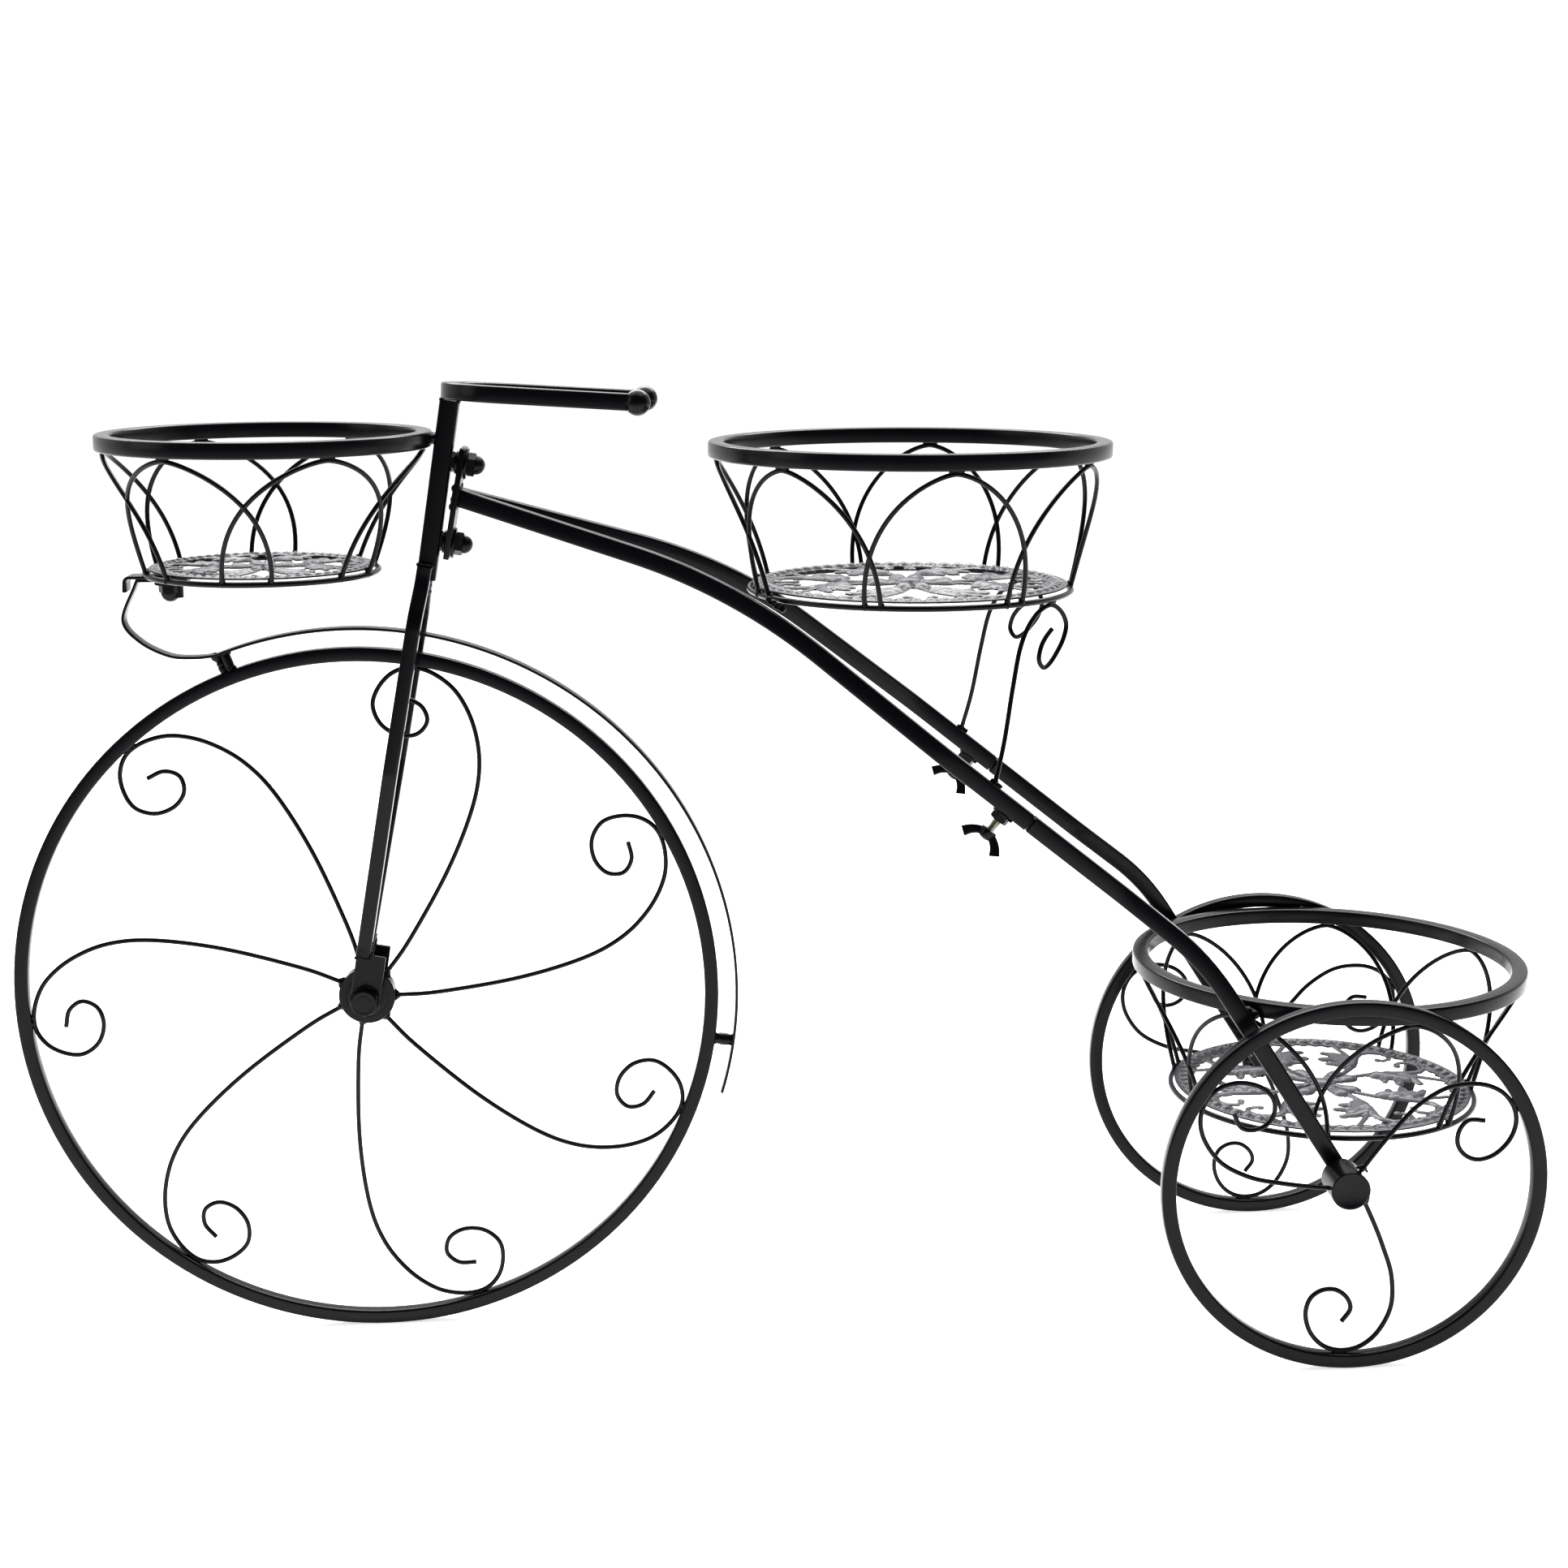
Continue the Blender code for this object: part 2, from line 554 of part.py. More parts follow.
def height_at(path, x, axis):
    """The path's coordinate along the axis where it crosses a given X."""
    before, after = next((pair for pair in zip(path, path[1:]) if x <= pair[1].x), path[-2:])
    return along(before[axis], after[axis], (x - before.x) / (after.x - before.x))


def tube_point(x, side):
    return Vector((x, side * height_at(plan_view, x, 1), height_at(side_view, x, 2)))


front, middle, rear = BASKETS.values()
tilt = math.radians(BASKET_TILT)
basket_up = Vector((math.sin(tilt), 0, math.cos(tilt)))
basket_back = Vector((math.cos(tilt), 0, -math.sin(tilt)))
front["z"] = post_top.z - FRONT_BASKET_DROP
front["x"] = (on_post(front["z"]).x - POST_SIDE / 2 / math.cos(rake) - FRONT_BASKET_GAP
              - front["rim_r"] * math.cos(tilt))
middle["x"] = WHEELBASE * MIDDLE_BASKET_AT_SHARE
rear["x"] = WHEELBASE + REAR_BASKET_BACK
rear["z"] = REAR_WHEEL_R + REAR_BASKET_RISE


def tube_top_below_ring(x):
    """How high the middle basket's middle must be for its foot ring to clear the tubes at this X."""
    off_centre = math.hypot(x - middle["x"], tube_point(x, 1).y)
    if abs(off_centre - middle["foot_r"]) > TUBE_SIDE / 2 + RING_WIRE_R:
        return 0
    return tube_point(x, 1).z + TUBE_SIDE / 2 / down_tube.x + (x - middle["x"]) * math.tan(tilt)


ring_span = [middle["x"] + middle["foot_r"] * share / CAGE_STEPS for share in range(-CAGE_STEPS, CAGE_STEPS)]
middle["z"] = (max(map(tube_top_below_ring, ring_span)) + MIDDLE_BASKET_GAP + 2 * RING_WIRE_R + GAP
               + PLATE_THICK + middle["depth"])

# Handlebar: a U of square tube on the post's top, with a ball at each end
slope = math.radians(BAR_SLOPE)
bar_ahead = Vector((math.cos(slope), 0, -math.sin(slope)))
bar_rise = BAR_SIDE / 2 / math.cos(slope) + POST_SIDE / 2 * (math.sin(rake) - math.tan(slope) * math.cos(rake))
bar_front = post_top + Vector((0, 0, bar_rise + GAP))
arc = [(BAR_BEND_R * (1 - math.cos(math.radians(a))), BAR_BEND_R * math.sin(math.radians(a)))
       for a in range(-90, 91, 15)]
bar_length = (middle["x"] - middle["rim_r"] - BAR_CLEARANCE - bar_front.x) / bar_ahead.x
plan = [(bar_length, -BAR_BEND_R - BAR_FLARE), *arc, (bar_length, BAR_BEND_R + BAR_FLARE)]
bar_route = [bar_front + bar_ahead * run + Vector((0, y, 0)) for run, y in plan]
bar_up = Vector((math.sin(slope), 0, math.cos(slope)))
finish(strip("handlebar", bar_route, BAR_SIDE, BAR_SIDE, bar_up), BLACK, origin=bar_front)
for end, before, name in ((bar_route[0], bar_route[1], "left"), (bar_route[-1], bar_route[-2], "right")):
    ball_profile = [(BALL_R * math.sin(math.radians(a)), BALL_R * math.cos(math.radians(a)))
                    for a in range(0, 181, 18)]
    ball = turned(f"handlebar_ball_{name}", ball_profile, 18)
    flat = block("flat", (BALL_R * 3, BALL_R * 3, BALL_R * 2))
    flat.location.z = -BALL_R * 1.75
    ball = combined(f"handlebar_ball_{name}", ball, [flat], "DIFFERENCE")
    away = (end - before).normalized()
    finish(put(ball, end + away * (BALL_R * 0.75 + GAP), away), BLACK)

# Fender strap round the wheel, its front end curling up to the basket bracket, and two stubs
fender_r = FRONT_WHEEL_R + FENDER_CLEARANCE
bracket_front_x = front["x"] - front["foot_r"] - BRACKET_AHEAD
bracket_rear_x = front["x"] - front["foot_r"] + BRACKET_LAP
bracket_bolt_x = front["x"] - front["foot_r"] + BRACKET_BOLT_INSET


def in_basket(basket, back, side, up):
    """A point of a basket's own frame: back along its rim, to its right side, and up from its rim's middle."""
    return (Vector((basket["x"], 0, basket["z"])) + basket_back * back + Vector((0, side, 0))
            + basket_up * up)


ring_drop = -front["depth"] - PLATE_THICK - GAP - 2 * RING_WIRE_R
bracket_drop = ring_drop - GAP - BRACKET_THICK / 2
lap_drop = bracket_drop - BRACKET_THICK / 2 - GAP - FENDER_THICK / 2


def under_front(x, drop):
    return in_basket(front, (x - front["x"]) / basket_back.x, 0, drop)


lap_front = under_front(bracket_front_x + BRACKET_BEND_R + BRACKET_THICK + FENDER_THICK, lap_drop)
lap_rear = under_front(bracket_bolt_x + WASHER_R + BRACKET_THICK, lap_drop)
fender_route = [polar(fender_r, FENDER_REAR_ANGLE + (FENDER_FRONT_ANGLE - FENDER_REAR_ANGLE) * k / 26,
                      0, 0, FRONT_WHEEL_R) for k in range(27)]
curl = [fender_route[-1]] + [front_axle + Vector((x, 0, z)) * fender_r for x, z in FENDER_CURL_SHARES]
curl += [lap_front - basket_back * FENDER_THICK - basket_up * BRACKET_THICK * 2, lap_front]
fender_route += smooth_through(curl, 18)[1:] + [lap_rear]
fender = strip("fender_strap", fender_route, FENDER_WIDTH, FENDER_THICK)
bolt_hole = prism("bolt_hole", 14, STUD_R + GAP, BRACKET_THICK * 8)
put(bolt_hole, under_front(bracket_bolt_x, lap_drop - BRACKET_THICK * 4), basket_up)
fender = combined("fender_strap", fender, [bolt_hole], "DIFFERENCE")
finish(fender, BLACK, origin=front_axle)
stub_from = FRONT_WHEEL_R + GAP * 2
stub_to = fender_r - FENDER_THICK / 2 - GAP * 3
for name, angle in STUB_ANGLES.items():
    stub = prism(name, 12, STUB_R, stub_to - stub_from)
    place = polar(stub_from, angle, 0, 0, FRONT_WHEEL_R)
    finish(put(stub, place, place - front_axle), BLACK)

# Bracket strip under the front basket, with its folded front lip, bolt and capped nut
bracket_top = [
    under_front(bracket_front_x, bracket_drop - BRACKET_LIP),
    under_front(bracket_front_x, bracket_drop),
    under_front(bracket_rear_x, bracket_drop),
]
bracket = strip("basket_bracket", filleted(bracket_top, [BRACKET_BEND_R], 5), BRACKET_WIDTH, BRACKET_THICK)
bolt_hole = prism("bolt_hole", 14, STUD_R + GAP, BRACKET_THICK * 6)
put(bolt_hole, under_front(bracket_bolt_x, bracket_drop - BRACKET_THICK * 3), basket_up)
finish(combined("basket_bracket", bracket, [bolt_hole], "DIFFERENCE"), BLACK)


def capped_nut(name, depth):
    """Washer, hexagon and dome in one, about Z from Z = 0, with a blind hole for the stud."""
    corner = NUT_WIDTH / 2 / math.cos(math.radians(30))
    dome_from = WASHER_THICK + NUT_HEIGHT
    dome = [(DOME_R * math.sin(math.radians(a)), dome_from + DOME_R * math.cos(math.radians(a)))
            for a in range(0, 91, 18)]
    body = turned(name, [*dome, (DOME_R, WASHER_THICK), (WASHER_R, WASHER_THICK), (WASHER_R, 0), (0, 0)], 16)
    hexagon = prism("hexagon", 6, corner, NUT_HEIGHT)
    hexagon.location.z = WASHER_THICK / 2
    bore = prism("bore", 14, STUD_R + GAP, depth + GAP + OVERRUN)
    bore.location.z = -OVERRUN
    body = combined(name, body, [hexagon], "UNION")
    return combined(name, body, [bore], "DIFFERENCE")


clamp_z = lap_drop - FENDER_THICK / 2 - GAP
bolt_head_r = STUD_COLLAR_R
head_up = PLATE_THICK
bolt_from = clamp_z - STUD_TAIL
bolt_to = bracket_drop + BRACKET_THICK / 2 + GAP
bolt = turned("bracket_bolt", [(0, bolt_to + head_up), (bolt_head_r, bolt_to + head_up), (bolt_head_r, bolt_to),
                               (STUD_R, bolt_to), (STUD_R, bolt_from), (0, bolt_from)], 14)
finish(put(bolt, under_front(bracket_bolt_x, 0), basket_up), BLACK,
       origin=under_front(bracket_bolt_x, bracket_drop))
finish(put(capped_nut("bracket_cap_nut", STUD_TAIL), under_front(bracket_bolt_x, clamp_z), -basket_up), BLACK)

# Baskets: a square-tube rim, a cage of pointed wire arches on a wire ring, and an openwork plate


def basket_cage(name, basket):
    """The arches lean out from the foot ring to the rim's underside and cross one another."""
    low = -basket["depth"] - PLATE_THICK - GAP - RING_WIRE_R
    high = -RIM_TUBE / 2 - GAP - BASKET_WIRE_R
    top_r = basket["rim_r"] - RIM_TUBE / 2
    ring_points = []
    for k in range(CAGE_STEPS):
        angle = 2 * math.pi * k / CAGE_STEPS
        ring_points.append(in_basket(basket, basket["foot_r"] * math.cos(angle),
                                     basket["foot_r"] * math.sin(angle), low))
    curve = poly_curve(name, ring_points, cyclic=True)
    curve.bevel_depth = RING_WIRE_R
    curve.bevel_resolution = 1
    cage = baked(helper(name, curve), name)
    arches = []
    for number in range(basket["arches"]):
        middle = basket["start"] + number * 360 / basket["arches"]
        route = []
        for step in range(-ARCH_STEPS, ARCH_STEPS + 1):
            height = math.cos(abs(step) / ARCH_STEPS * math.pi / 2)
            spread = (1 - height ** 2) ** ARCH_POWER
            angle = math.radians(middle + math.copysign(spread, step) * basket["spread"])
            lean = ARCH_LEAN * step / ARCH_STEPS * math.sqrt(height)
            radius = along(basket["foot_r"], top_r, height) + lean
            route.append(in_basket(basket, radius * math.sin(angle), -radius * math.cos(angle),
                                   along(low, high, height)))
        arches.append(wire("arch", route, BASKET_WIRE_R))
    return combined(name, cage, arches, "UNION")


def openwork_plate(name, radius, start):
    """A stamped disc: a rosette in the middle, leaves and scrolls in four quarters, and a border."""
    curve = bpy.data.curves.new(name, "CURVE")
    curve.dimensions = "2D"
    curve.fill_mode = "BOTH"
    curve.extrude = PLATE_THICK / 2
    outlines = [[polar(radius, 360 * k / PLATE_STEPS) for k in range(PLATE_STEPS)]]
    for quarter in range(PLATE_QUARTERS):
        turn = start + 360 / PLATE_QUARTERS * quarter
        for shares in (PLATE_SCROLL_SHARES, PLATE_INNER_SHARES, PLATE_OUTER_SHARES, PLATE_SIDE_SHARES,
                       PLATE_OPPOSITE_SHARES):
            outlines.append([polar(radius * share, turn + angle) for share, angle in shares])
    for outline in outlines:
        spline = curve.splines.new("POLY")
        spline.points.add(len(outline) - 1)
        for point, place in zip(spline.points, outline):
            point.co = (place.x, place.z, 0, 1)
        spline.use_cyclic_u = True
    return baked(helper(name, curve), name)


for name, basket in BASKETS.items():
    rim_middle = in_basket(basket, 0, 0, 0)
    rim = put(square_ring(f"{name}_basket_rim", basket["rim_r"], RIM_TUBE), rim_middle, basket_up)
    finish(rim, BLACK)
    finish(basket_cage(f"{name}_basket_cage", basket), BLACK, origin=rim_middle)
    plate = openwork_plate(f"{name}_basket_plate", basket["foot_r"] - BASKET_WIRE_R - GAP * 2,
                           basket["plate_turn"])
    finish(put(plate, in_basket(basket, 0, 0, -basket["depth"] - PLATE_THICK / 2), basket_up), PLATE)

# Frame tubes: two square tubes from the head plate to the rear axles, each joined by a sleeve
joint_x = along(bend_1.x, bend_2.x, JOINT_SHARE)
front_stop = joint_x - down_tube.x * JOINT_SLOT / 2
rear_stop = joint_x + down_tube.x * JOINT_SLOT / 2
bends = sorted(p.x for p in side_view + plan_view)
bends = [x for x, after in zip(bends, bends[1:]) if after - x > TUBE_WALL] + [tube_end.x]
front_stations = [x for x in bends if x < front_stop - TUBE_SIDE] + [front_stop]
rear_stations = [rear_stop] + [x for x in bends if x > rear_stop + TUBE_SIDE]
sleeve_side = TUBE_SIDE - 2 * TUBE_WALL - 2 * GAP
bore_side = TUBE_SIDE - 2 * TUBE_WALL
bore_length = SLEEVE_LENGTH + SLEEVE_BORE_EXTRA
for side, name in ((-1, "left"), (1, "right")):
    joint = tube_point(joint_x, side)
    front_end, rear_end = tube_point(front_stop, side), tube_point(rear_stop, side)
    tube = strip(f"front_tube_{name}", [tube_point(x, side) for x in front_stations], TUBE_SIDE, TUBE_SIDE)
    bore = block("bore", (bore_side, bore_side, bore_length + OVERRUN))
    put(bore, front_end - down_tube * ((bore_length - OVERRUN) / 2), down_tube)
    screw_on_tube = joint - down_tube * SCREW_BACK
    hole = prism("screw_hole", 14, SCREW_R + GAP, TUBE_SIDE)
    put(hole, screw_on_tube + off_tube * (bore_side / 2 - OVERRUN), off_tube)
    tube = combined(f"front_tube_{name}", tube, [bore, hole], "DIFFERENCE")
    finish(tube, BLACK, origin=joint)
    tube = strip(f"rear_tube_{name}", [tube_point(x, side) for x in rear_stations], TUBE_SIDE, TUBE_SIDE)
    sleeve = block("sleeve", (sleeve_side, sleeve_side, SLEEVE_LENGTH + OVERRUN))
    put(sleeve, rear_end - down_tube * ((SLEEVE_LENGTH - OVERRUN) / 2), down_tube)
    finish(combined(f"rear_tube_{name}", tube, [sleeve], "UNION"), BLACK, origin=joint)

    # A nut welded under the front tube, and the thumb screw that presses on the sleeve
    nut_from = TUBE_SIDE / 2 + GAP
    nut = prism("nut", 6, SCREW_NUT_WIDTH / 2 / math.cos(math.radians(30)), SCREW_NUT_HEIGHT)
    nut_bore = prism("nut_bore", 14, SCREW_R + GAP, SCREW_NUT_HEIGHT + 2 * OVERRUN)
    nut_bore.location.z = -OVERRUN
    nut = combined(f"clamp_nut_{name}", nut, [nut_bore], "DIFFERENCE")
    finish(put(nut, screw_on_tube + off_tube * nut_from, off_tube), BLACK)
    screw_from = sleeve_side / 2 + GAP
    wing_from = nut_from + SCREW_NUT_HEIGHT + SCREW_REACH
    shank = prism(f"thumb_screw_{name}", 16, SCREW_R, wing_from + WING_HUB_HEIGHT / 2 - screw_from)
    finish(put(shank, screw_on_tube + off_tube * screw_from, off_tube), ZINC)
    head = turned(f"thumb_wings_{name}", [(0, WING_HUB_HEIGHT), (WING_HUB_R, WING_HUB_HEIGHT), (WING_HUB_R, 0),
                                          (0, 0)], 18)
    wings = []
    for turn in (0, math.pi):
        wing = block("wing", (WING_LENGTH, WING_THICK, WING_WIDTH))
        sweep = Matrix.Rotation(-math.radians(WING_SWEEP), 4, "Y")
        out = Matrix.Translation((WING_HUB_R / 2, 0, WING_HUB_HEIGHT / 2))
        reach = Matrix.Translation((WING_LENGTH / 2, 0, 0))
        wing.matrix_world = Matrix.Rotation(turn + math.radians(WING_ROLL), 4, "Z") @ out @ sweep @ reach
        wings.append(wing)
    head = combined("head", head, wings, "UNION")
    socket = prism("socket", 16, SCREW_R + GAP, WING_HUB_HEIGHT / 2 + GAP + OVERRUN)
    socket.location.z = -OVERRUN
    head = combined(f"thumb_wings_{name}", head, [socket], "DIFFERENCE")
    finish(put(head, screw_on_tube + off_tube * wing_from, off_tube), BLACK)

# Head plate between the post and the tubes' front ends, bolted to the post by two capped nuts
plate_middle = on_post(head_middle)
post_back = Vector((post_line.z, 0, -post_line.x))
plate_height = (head_top - head_foot) / post_line.z
stud_heights = {"upper": head_top - STUD_INSET, "lower": head_foot + STUD_INSET}
head_plate = block("head_plate", (HEAD_PLATE_THICK, HEAD_PLATE_WIDTH, plate_height))
put(head_plate, plate_middle + post_back * HEAD_PLATE_OFFSET, post_line)
holes = []
stud_from = POST_SIDE / 2
collar_to = HEAD_PLATE_OFFSET - HEAD_PLATE_THICK / 2 - GAP
cap_from = HEAD_PLATE_OFFSET + HEAD_PLATE_THICK / 2 + GAP
for name, z in stud_heights.items():
    hole = prism("hole", 14, STUD_R + GAP, HEAD_PLATE_THICK + 2 * OVERRUN)
    put(hole, on_post(z) + post_back * (HEAD_PLATE_OFFSET - HEAD_PLATE_THICK / 2 - OVERRUN), post_back)
    holes.append(hole)
    cap = capped_nut(f"head_cap_nut_{name}", STUD_TAIL)
    finish(put(cap, on_post(z) + post_back * cap_from, post_back), BLACK)
finish(combined("head_plate", head_plate, holes, "DIFFERENCE"), BLACK)
studs = []
for name, z in stud_heights.items():
    stud = turned("stud", [(0, cap_from + STUD_TAIL), (STUD_R, cap_from + STUD_TAIL), (STUD_R, collar_to),
                           (STUD_COLLAR_R, collar_to), (STUD_COLLAR_R, 0), (0, 0)], 14)
    studs.append(put(stud, on_post(z), post_back))
post = block("post", (POST_SIDE, POST_SIDE, (post_top - post_foot).length))
put(post, (post_foot + post_top) / 2, post_line)
finish(combined("steering_post", post, studs, "UNION"), BLACK, origin=crown)

# Wire legs from the front tubes up to the middle basket's ring, each ending in a loop
ring_under = -middle["depth"] - PLATE_THICK - GAP - 2 * RING_WIRE_R - GAP - LEG_WIRE_R
ring_reach = middle["foot_r"] - LEG_RING_INSET
bearing = math.radians(LEG_RING_BEARING)
for side, name in ((-1, "left"), (1, "right")):
    on_tube = tube_point(joint_x, side) - down_tube * LEG_FOOT_BACK
    foot = on_tube - off_tube * (TUBE_SIDE / 2 + GAP + LEG_WIRE_R / 2)
    top = Vector((middle["x"] + ring_reach * math.cos(bearing), side * ring_reach * math.sin(bearing), foot.z))
    lean_length = (top - foot).length
    lean = (top - foot).normalized()
    height = in_basket(middle, (top.x - middle["x"]) / basket_back.x, 0, ring_under).z - foot.z
    top.z += height
    route = [top + lean * (out * lean_length) + Vector((0, 0, up * height)) for out, up in LEG_SHARES]
    finish(wire(f"leg_wire_{name}", smooth_through(route, 26), LEG_WIRE_R), BLACK, origin=foot)

# Rear wheels: each stands against the rear basket's rim and is welded to its tube through a hub
rear_y = rear["rim_r"] + GAP + WHEEL_TUBE / 2
hub_from = TUBE_Y_REAR + TUBE_SIDE / 2 + GAP
hub_to = rear_y + WHEEL_TUBE
for side, name in ((-1, "left"), (1, "right")):
    centre = rear_axle + Vector((0, side * rear_y, 0))
    wheel_ring(f"rear_wheel_rim_{name}", REAR_WHEEL_R, centre)
    hub = turned(f"rear_hub_{name}", [(0, hub_to), (REAR_HUB_R, hub_to), (REAR_HUB_R, hub_from), (0, hub_from)], 24)
    finish(put(hub, rear_axle, (0, side, 0), Vector((1, 0, 0))), BLACK)
    spokes(f"rear_spoke_{name}", REAR_SPOKES, REAR_SPOKE_START, REAR_SPOKE_SHARES, REAR_HUB_R, REAR_WHEEL_R,
           centre, REAR_SPOKE_STEPS)
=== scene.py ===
import math
import random

import bmesh
import bpy
import numpy as np
from mathutils import Matrix, Vector


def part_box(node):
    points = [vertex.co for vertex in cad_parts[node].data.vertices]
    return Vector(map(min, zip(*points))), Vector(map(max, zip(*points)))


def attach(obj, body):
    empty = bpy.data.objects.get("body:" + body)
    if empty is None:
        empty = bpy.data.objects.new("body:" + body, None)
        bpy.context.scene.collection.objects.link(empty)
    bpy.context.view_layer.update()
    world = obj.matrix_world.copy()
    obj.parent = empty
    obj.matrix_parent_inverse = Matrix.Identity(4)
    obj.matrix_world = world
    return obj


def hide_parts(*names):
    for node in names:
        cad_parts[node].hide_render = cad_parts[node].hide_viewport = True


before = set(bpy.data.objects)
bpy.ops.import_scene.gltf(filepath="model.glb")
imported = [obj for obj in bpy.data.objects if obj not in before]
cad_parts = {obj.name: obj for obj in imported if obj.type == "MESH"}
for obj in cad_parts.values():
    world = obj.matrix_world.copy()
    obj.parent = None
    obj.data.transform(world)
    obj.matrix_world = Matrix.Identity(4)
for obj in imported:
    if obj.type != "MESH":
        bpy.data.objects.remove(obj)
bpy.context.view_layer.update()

# Stage: a plain pale sheet in front of a white backdrop, broad softboxes overhead and behind, and a weak
# one at the left. The camera's side is dim, so the black coat mirrors white only along its edges.
scene = bpy.context.scene
CAMERA_PLACE = (-0.03537, -1.36217, 0.59905)
CAMERA_RIGHT = Vector((0.999106, -0.018348, -0.038077))
CAMERA_UP = Vector((0.041114, 0.212952, 0.976197))
CAMERA_LENS = dict(sensor_width=36.0, lens=56.891, shift_x=0.03764, shift_y=0.01385, clip_start=0.05)
SOFTBOXES = {
    "overhead_softbox": ((0.1, 0.3, 2.2), (2.6, 1.8), 34),
    "left_softbox": ((-2.1, -0.5, 1.2), (0.9, 1.6), 6),
    "rear_softbox": ((0.1, 1.7, 2.0), (3.2, 0.9), 80),
}
LAMPS_AIM = Vector((0, 0, 0.3))
BACKDROP_FADE, FLOOR_FADE = (-0.25, 0.35, 0.04, 1.05), (-1.2, -0.8, 0.0, 0.75)
WHITE = (1.0, 1.0, 1.0, 1.0)


def placed(name, data):
    """A new object of the scene that holds the data."""
    made = bpy.data.objects.new(name, data)
    scene.collection.objects.link(made)
    return made


def chain(tree, kind, fed, **settings):
    """Add a node to a tree, set its properties, and feed its named inputs from sockets or with constants."""
    node = tree.nodes.new(kind)
    for name, value in settings.items():
        setattr(node, name, value)
    for name, source in fed.items():
        if isinstance(source, bpy.types.NodeSocket):
            tree.links.new(source, node.inputs[name])
        else:
            node.inputs[name].default_value = source
    return node.outputs


def faded(tree, place, start, end, low, high):
    """A value that goes smoothly from low to high as a kind of coordinate goes back from start to end."""
    split = chain(tree, "ShaderNodeSeparateXYZ", {"Vector": chain(tree, "ShaderNodeTexCoord", {})[place]})
    return chain(tree, "ShaderNodeMapRange", {"Value": split["Y"], "From Min": start, "From Max": end,
                                              "To Min": low, "To Max": high},
                 interpolation_type="SMOOTHSTEP")["Result"]


camera_data = bpy.data.cameras.new("photo_camera")
for setting, value in CAMERA_LENS.items():
    setattr(camera_data, setting, value)
camera = placed("photo_camera", camera_data)
camera_axes = Matrix((CAMERA_RIGHT, CAMERA_UP, CAMERA_RIGHT.cross(CAMERA_UP))).transposed()
camera.matrix_world = Matrix.Translation(CAMERA_PLACE) @ camera_axes.to_4x4()
scene.camera = camera
scene.view_settings.view_transform = "Standard"
scene.view_settings.gamma = 0.85

for name, (place, size, power) in SOFTBOXES.items():
    data = bpy.data.lights.new(name, "AREA")
    data.shape = "RECTANGLE"
    data.size, data.size_y = size
    data.energy = power
    lamp = placed(name, data)
    lamp.location = place
    lamp.visible_camera = False
    lamp.rotation_euler = (LAMPS_AIM - Vector(place)).to_track_quat("-Z", "Y").to_euler()

surround = bpy.data.worlds.new("white_backdrop")
surround.use_nodes = True
sky = surround.node_tree
sky.nodes["Background"].inputs["Color"].default_value = WHITE
sky.links.new(faded(sky, "Generated", *BACKDROP_FADE), sky.nodes["Background"].inputs["Strength"])
scene.world = surround

floor_mesh = bpy.data.meshes.new("pale_floor")
floor_mesh.from_pydata([(-6, -6, 0), (6, -6, 0), (6, 6, 0), (-6, 6, 0)], [], [(0, 1, 2, 3)])
floor = placed("pale_floor", floor_mesh)
paper = bpy.data.materials.new("pale_paper")
paper.use_nodes = True
sheet = paper.node_tree.nodes["Principled BSDF"].inputs
sheet["Base Color"].default_value = (0.92, 0.92, 0.92, 1)
sheet["Roughness"].default_value = 0.9
sheet["Emission Color"].default_value = WHITE
paper.node_tree.links.new(faded(paper.node_tree, "Object", *FLOOR_FADE), sheet["Emission Strength"])
floor_mesh.materials.append(paper)

# Front wheel rim: one length of square steel tube rolled to a ring, butt-welded shut, and coated with
# the rest in black powder. The coat is satin, with the fine ripple that powder bakes to.
low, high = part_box("front_wheel_rim")
FRONT_AXLE = (Vector(low) + Vector(high)) / 2
X_AXIS, Y_AXIS, Z_AXIS = Vector((1, 0, 0)), Vector((0, 1, 0)), Vector((0, 0, 1))
FRONT_WHEEL_R = 0.200
WHEEL_TUBE = 0.0078
TUBE_CORNER = 0.0013
RING_STATIONS = 160
MOTTLE = 40


def coat_group():
    """Baked powder: a height for its ripple, and masks for its slow mottle and its fine grain."""
    group = bpy.data.node_groups.new("baked_powder", "ShaderNodeTree")
    for name, start in (("Ripple Scale", 900), ("Mottle Scale", MOTTLE)):
        group.interface.new_socket(name, in_out="INPUT", socket_type="NodeSocketFloat").default_value = start
    for name in ("Height", "Mottle", "Grain"):
        group.interface.new_socket(name, in_out="OUTPUT", socket_type="NodeSocketFloat")
    given, out = group.nodes.new("NodeGroupInput").outputs, group.nodes.new("NodeGroupOutput").inputs
    place = chain(group, "ShaderNodeTexCoord", {})["Object"]
    for name, texture in (("Height", {"Scale": given["Ripple Scale"]}),
                          ("Mottle", {"Scale": given["Mottle Scale"], "Detail": 5.0}),
                          ("Grain", {"Scale": 4200})):
        noise = chain(group, "ShaderNodeTexNoise", {"Vector": place, **texture})
        group.links.new(noise["Fac"], out[name])
    return group


COAT = coat_group()


